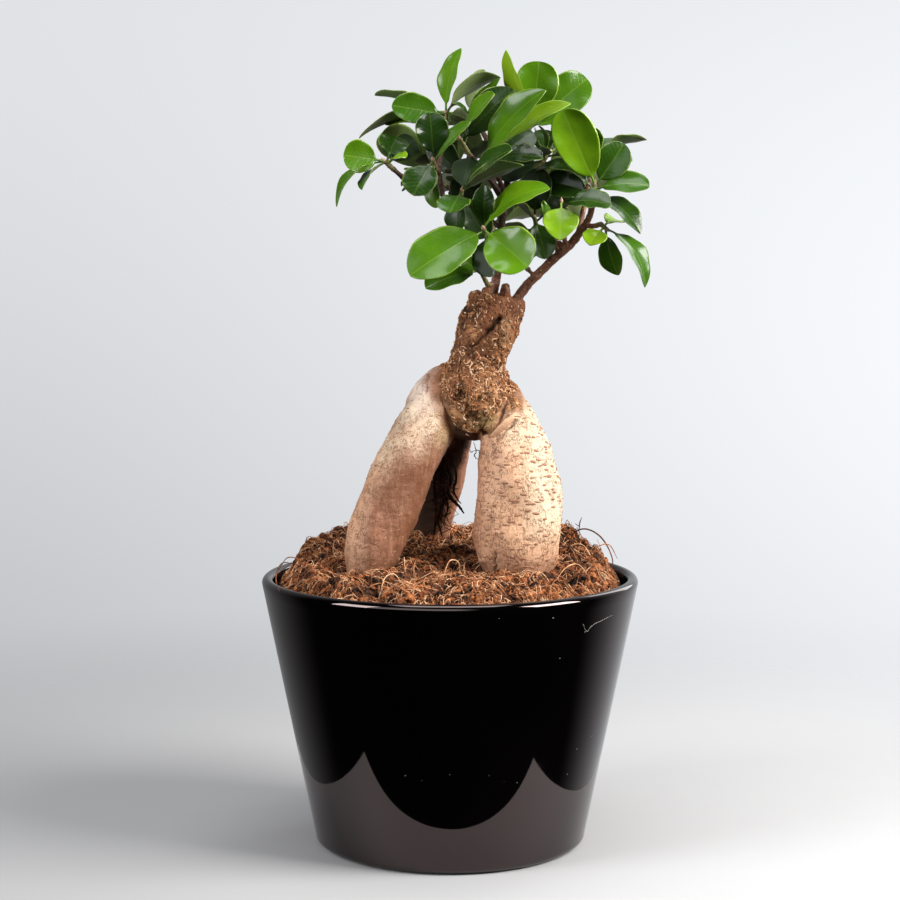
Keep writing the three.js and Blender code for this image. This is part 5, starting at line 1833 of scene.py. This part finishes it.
class FicusBark(PropertyGroup):
    seed: count_setting("Seed", "Start of the bark's random draws", 3)
    skin: number_setting("Skin size", "Edge of one face of the rootstock, in millimetres", 0.8, 0.5)
    twig_skin: number_setting("Twig skin size", "Edge of one face of the limbs, in millimetres", 0.42, 0.2)
    slim: share_setting("Slimness", "Thickness of a twig against its solid", 0.82)
    pores: count_setting("Pores", "Number of raised pores tried on the roots", 1250)
    flakes: count_setting("Flakes", "Number of small plates of cork on the neck", 1700)
    curls: count_setting("Curls", "Number of curled ridges of cork on the neck", 420)
    leg_dark: colour_setting("Root, dark", "Darker patches of the roots' skin", (0.21, 0.08, 0.036))
    leg_light: colour_setting("Root, light", "Lighter patches of the roots' skin", (0.57, 0.275, 0.17))
    leg_pale: colour_setting("Root, pale", "Pale streaks of the roots' skin", (0.68, 0.46, 0.31))
    # Colour of the painted light on the roots, also used in the loose bark.
    lit: colour_setting("Root, clear", "Clear skin on the front of the right root", (0.92, 0.54, 0.33))
    blush: colour_setting("Blush", "Pale pink skin on the shoulder", (0.98, 0.79, 0.67))
    rust: colour_setting("Rust", "Red-brown skin beside the corky neck", (0.5, 0.21, 0.11))
    # Cream of the painted highlights on the roots, and of the palest loose bark.
    cream: colour_setting("Cream", "Cream side of the roots", (0.84, 0.7, 0.5))
    tinge: colour_setting("Tinge", "Yellow-olive skin near the neck", (0.5, 0.37, 0.13))
    pore: colour_setting("Pore", "Breathing pores", (0.34, 0.18, 0.09))
    neck_dark: colour_setting("Neck, dark", "Hollows of the corky neck", (0.05, 0.018, 0.008))
    neck_light: colour_setting("Neck, light", "Plates of the corky neck", (0.42, 0.165, 0.062))
    neck_low: colour_setting("Neck, low", "Tan lower part of the corky neck", (0.54, 0.31, 0.135))
    neck_red: colour_setting("Neck, red", "Red-brown patches of the corky neck", (0.26, 0.085, 0.04))
    neck_crest: colour_setting("Neck, crest", "Crests of the corky neck", (0.72, 0.37, 0.165))
    fleck: colour_setting("Fleck", "Cream flecks on the neck and twigs", (0.86, 0.64, 0.44))
    twig_dark: colour_setting("Twig, dark", "Darker bark of the limbs", (0.085, 0.032, 0.019))
    twig_light: colour_setting("Twig, light", "Lighter bark of the limbs", (0.4, 0.18, 0.1))


class FicusLeaf(PropertyGroup):
    seed: count_setting("Seed", "Start of the leaves' random draws", 8)
    roughness: share_setting("Roughness", "Roughness of the leaves' upper side", 0.12)
    glow: share_setting("Glow", "Light that passes inside the blade", 0.12)
    old: colour_setting("Old", "Oldest leaves", (0.010, 0.030, 0.0045))
    grown: colour_setting("Grown", "Full-grown leaves", (0.036, 0.112, 0.0035))
    fresh: colour_setting("Fresh", "Fresh leaves", (0.105, 0.25, 0.004))
    young: colour_setting("Young", "Youngest leaves", (0.3, 0.49, 0.014))
    under_old: colour_setting("Underside, old", "Undersides of old leaves", (0.15, 0.18, 0.09))
    under_young: colour_setting("Underside, young", "Undersides of young leaves", (0.2, 0.3, 0.06))
    vein: colour_setting("Vein", "Midrib, side veins and margin", (0.30, 0.42, 0.07))
    deep: colour_setting("Deep", "Leaves in the shade inside the crown", (0.006, 0.018, 0.003))
    stem_brown: colour_setting("Stem, brown", "Older part of a young stem", (0.14, 0.06, 0.03))
    stem_green: colour_setting("Stem, green", "Younger part of a young stem", (0.2, 0.2, 0.06))
    bud: colour_setting("Bud", "Pointed buds", (0.5, 0.3, 0.2))


class FicusStage(PropertyGroup):
    floor: colour_setting("Floor", "Colour of the floor", (0.57, 0.57, 0.58))
    backdrop: colour_setting("Backdrop", "Colour behind the plant", (0.86, 0.88, 0.91))
    floor_size: length_setting("Floor size", "Half the floor's width", 3.0)
    fade_start: length_setting("Fade start", "Distance at which the floor starts to fade", 0.15)
    fade_end: length_setting("Fade end", "Distance at which the floor is gone", 0.75)
    light: number_setting("Light", "Strength of all lamps together", 1.0)
    room: number_setting("Room light", "Strength of the even light from the room", 0.13)
    panel: number_setting("Front panel", "Brightness of the panel above the camera in glossy surfaces", 2.2)
    mirror: number_setting("Room reflection", "Brightness of the room in glossy surfaces", 0.004)


# Steps, one for each group of pieces


class FICUS_OT_pot(Operator):
    """Build the glazed pot"""

    bl_idname = "ficus.pot"
    bl_label = "Glazed pot"

    def execute(self, context):
        build_pot(context.scene.ficus_pot)
        return {"FINISHED"}


class FICUS_OT_soil(Operator):
    """Build the mound of coir mix with its crumbs and fibres"""

    bl_idname = "ficus.soil"
    bl_label = "Coir mix"

    def execute(self, context):
        build_soil(context.scene.ficus_soil)
        return {"FINISHED"}


class FICUS_OT_rootstock(Operator):
    """Build the swollen roots and the corky neck"""

    bl_idname = "ficus.rootstock"
    bl_label = "Rootstock"

    def execute(self, context):
        build_rootstock(context.scene.ficus_bark)
        return {"FINISHED"}


class FICUS_OT_limbs(Operator):
    """Build the limbs and their twigs"""

    bl_idname = "ficus.limbs"
    bl_label = "Limbs"

    def execute(self, context):
        build_limbs(context.scene.ficus_bark)
        return {"FINISHED"}


class FICUS_OT_shoots(Operator):
    """Build the leafy shoots with their stems and buds"""

    bl_idname = "ficus.shoots"
    bl_label = "Leafy shoots"

    def execute(self, context):
        build_shoots(context.scene.ficus_leaf)
        return {"FINISHED"}


class FICUS_OT_stage(Operator):
    """Build the floor, the lamps, the backdrop and the camera"""

    bl_idname = "ficus.stage"
    bl_label = "Floor, light and camera"

    def execute(self, context):
        build_stage(context.scene.ficus_stage)
        return {"FINISHED"}


OPERATORS = (FICUS_OT_pot, FICUS_OT_soil, FICUS_OT_rootstock, FICUS_OT_limbs, FICUS_OT_shoots, FICUS_OT_stage)
SETTINGS = {
    "ficus_pot": FicusPot,
    "ficus_soil": FicusSoil,
    "ficus_bark": FicusBark,
    "ficus_leaf": FicusLeaf,
    "ficus_stage": FicusStage,
}


class FICUS_PT_sidebar(Panel):
    """The plant's pieces, to build one by one"""

    bl_idname = "FICUS_PT_sidebar"
    bl_label = "Ginseng ficus"
    bl_space_type = "VIEW_3D"
    bl_region_type = "UI"
    bl_category = "Ficus"

    def draw(self, context):
        for operator in OPERATORS:
            self.layout.operator(operator.bl_idname)
        for key in SETTINGS:
            group = getattr(context.scene, key)
            box = self.layout.box()
            for name in group.__annotations__:
                box.prop(group, name)


def register():
    for group in SETTINGS.values():
        bpy.utils.register_class(group)
    for key, group in SETTINGS.items():
        setattr(bpy.types.Scene, key, PointerProperty(type=group))
    for operator in (*OPERATORS, FICUS_PT_sidebar):
        bpy.utils.register_class(operator)


def unregister():
    for operator in reversed((*OPERATORS, FICUS_PT_sidebar)):
        bpy.utils.unregister_class(operator)
    for key, group in SETTINGS.items():
        delattr(bpy.types.Scene, key)
        bpy.utils.unregister_class(group)


def main():
    register()
    for operator in OPERATORS:
        name = operator.bl_idname.split(".")[1]
        getattr(bpy.ops.ficus, name)()


if __name__ == "__main__":
    main()
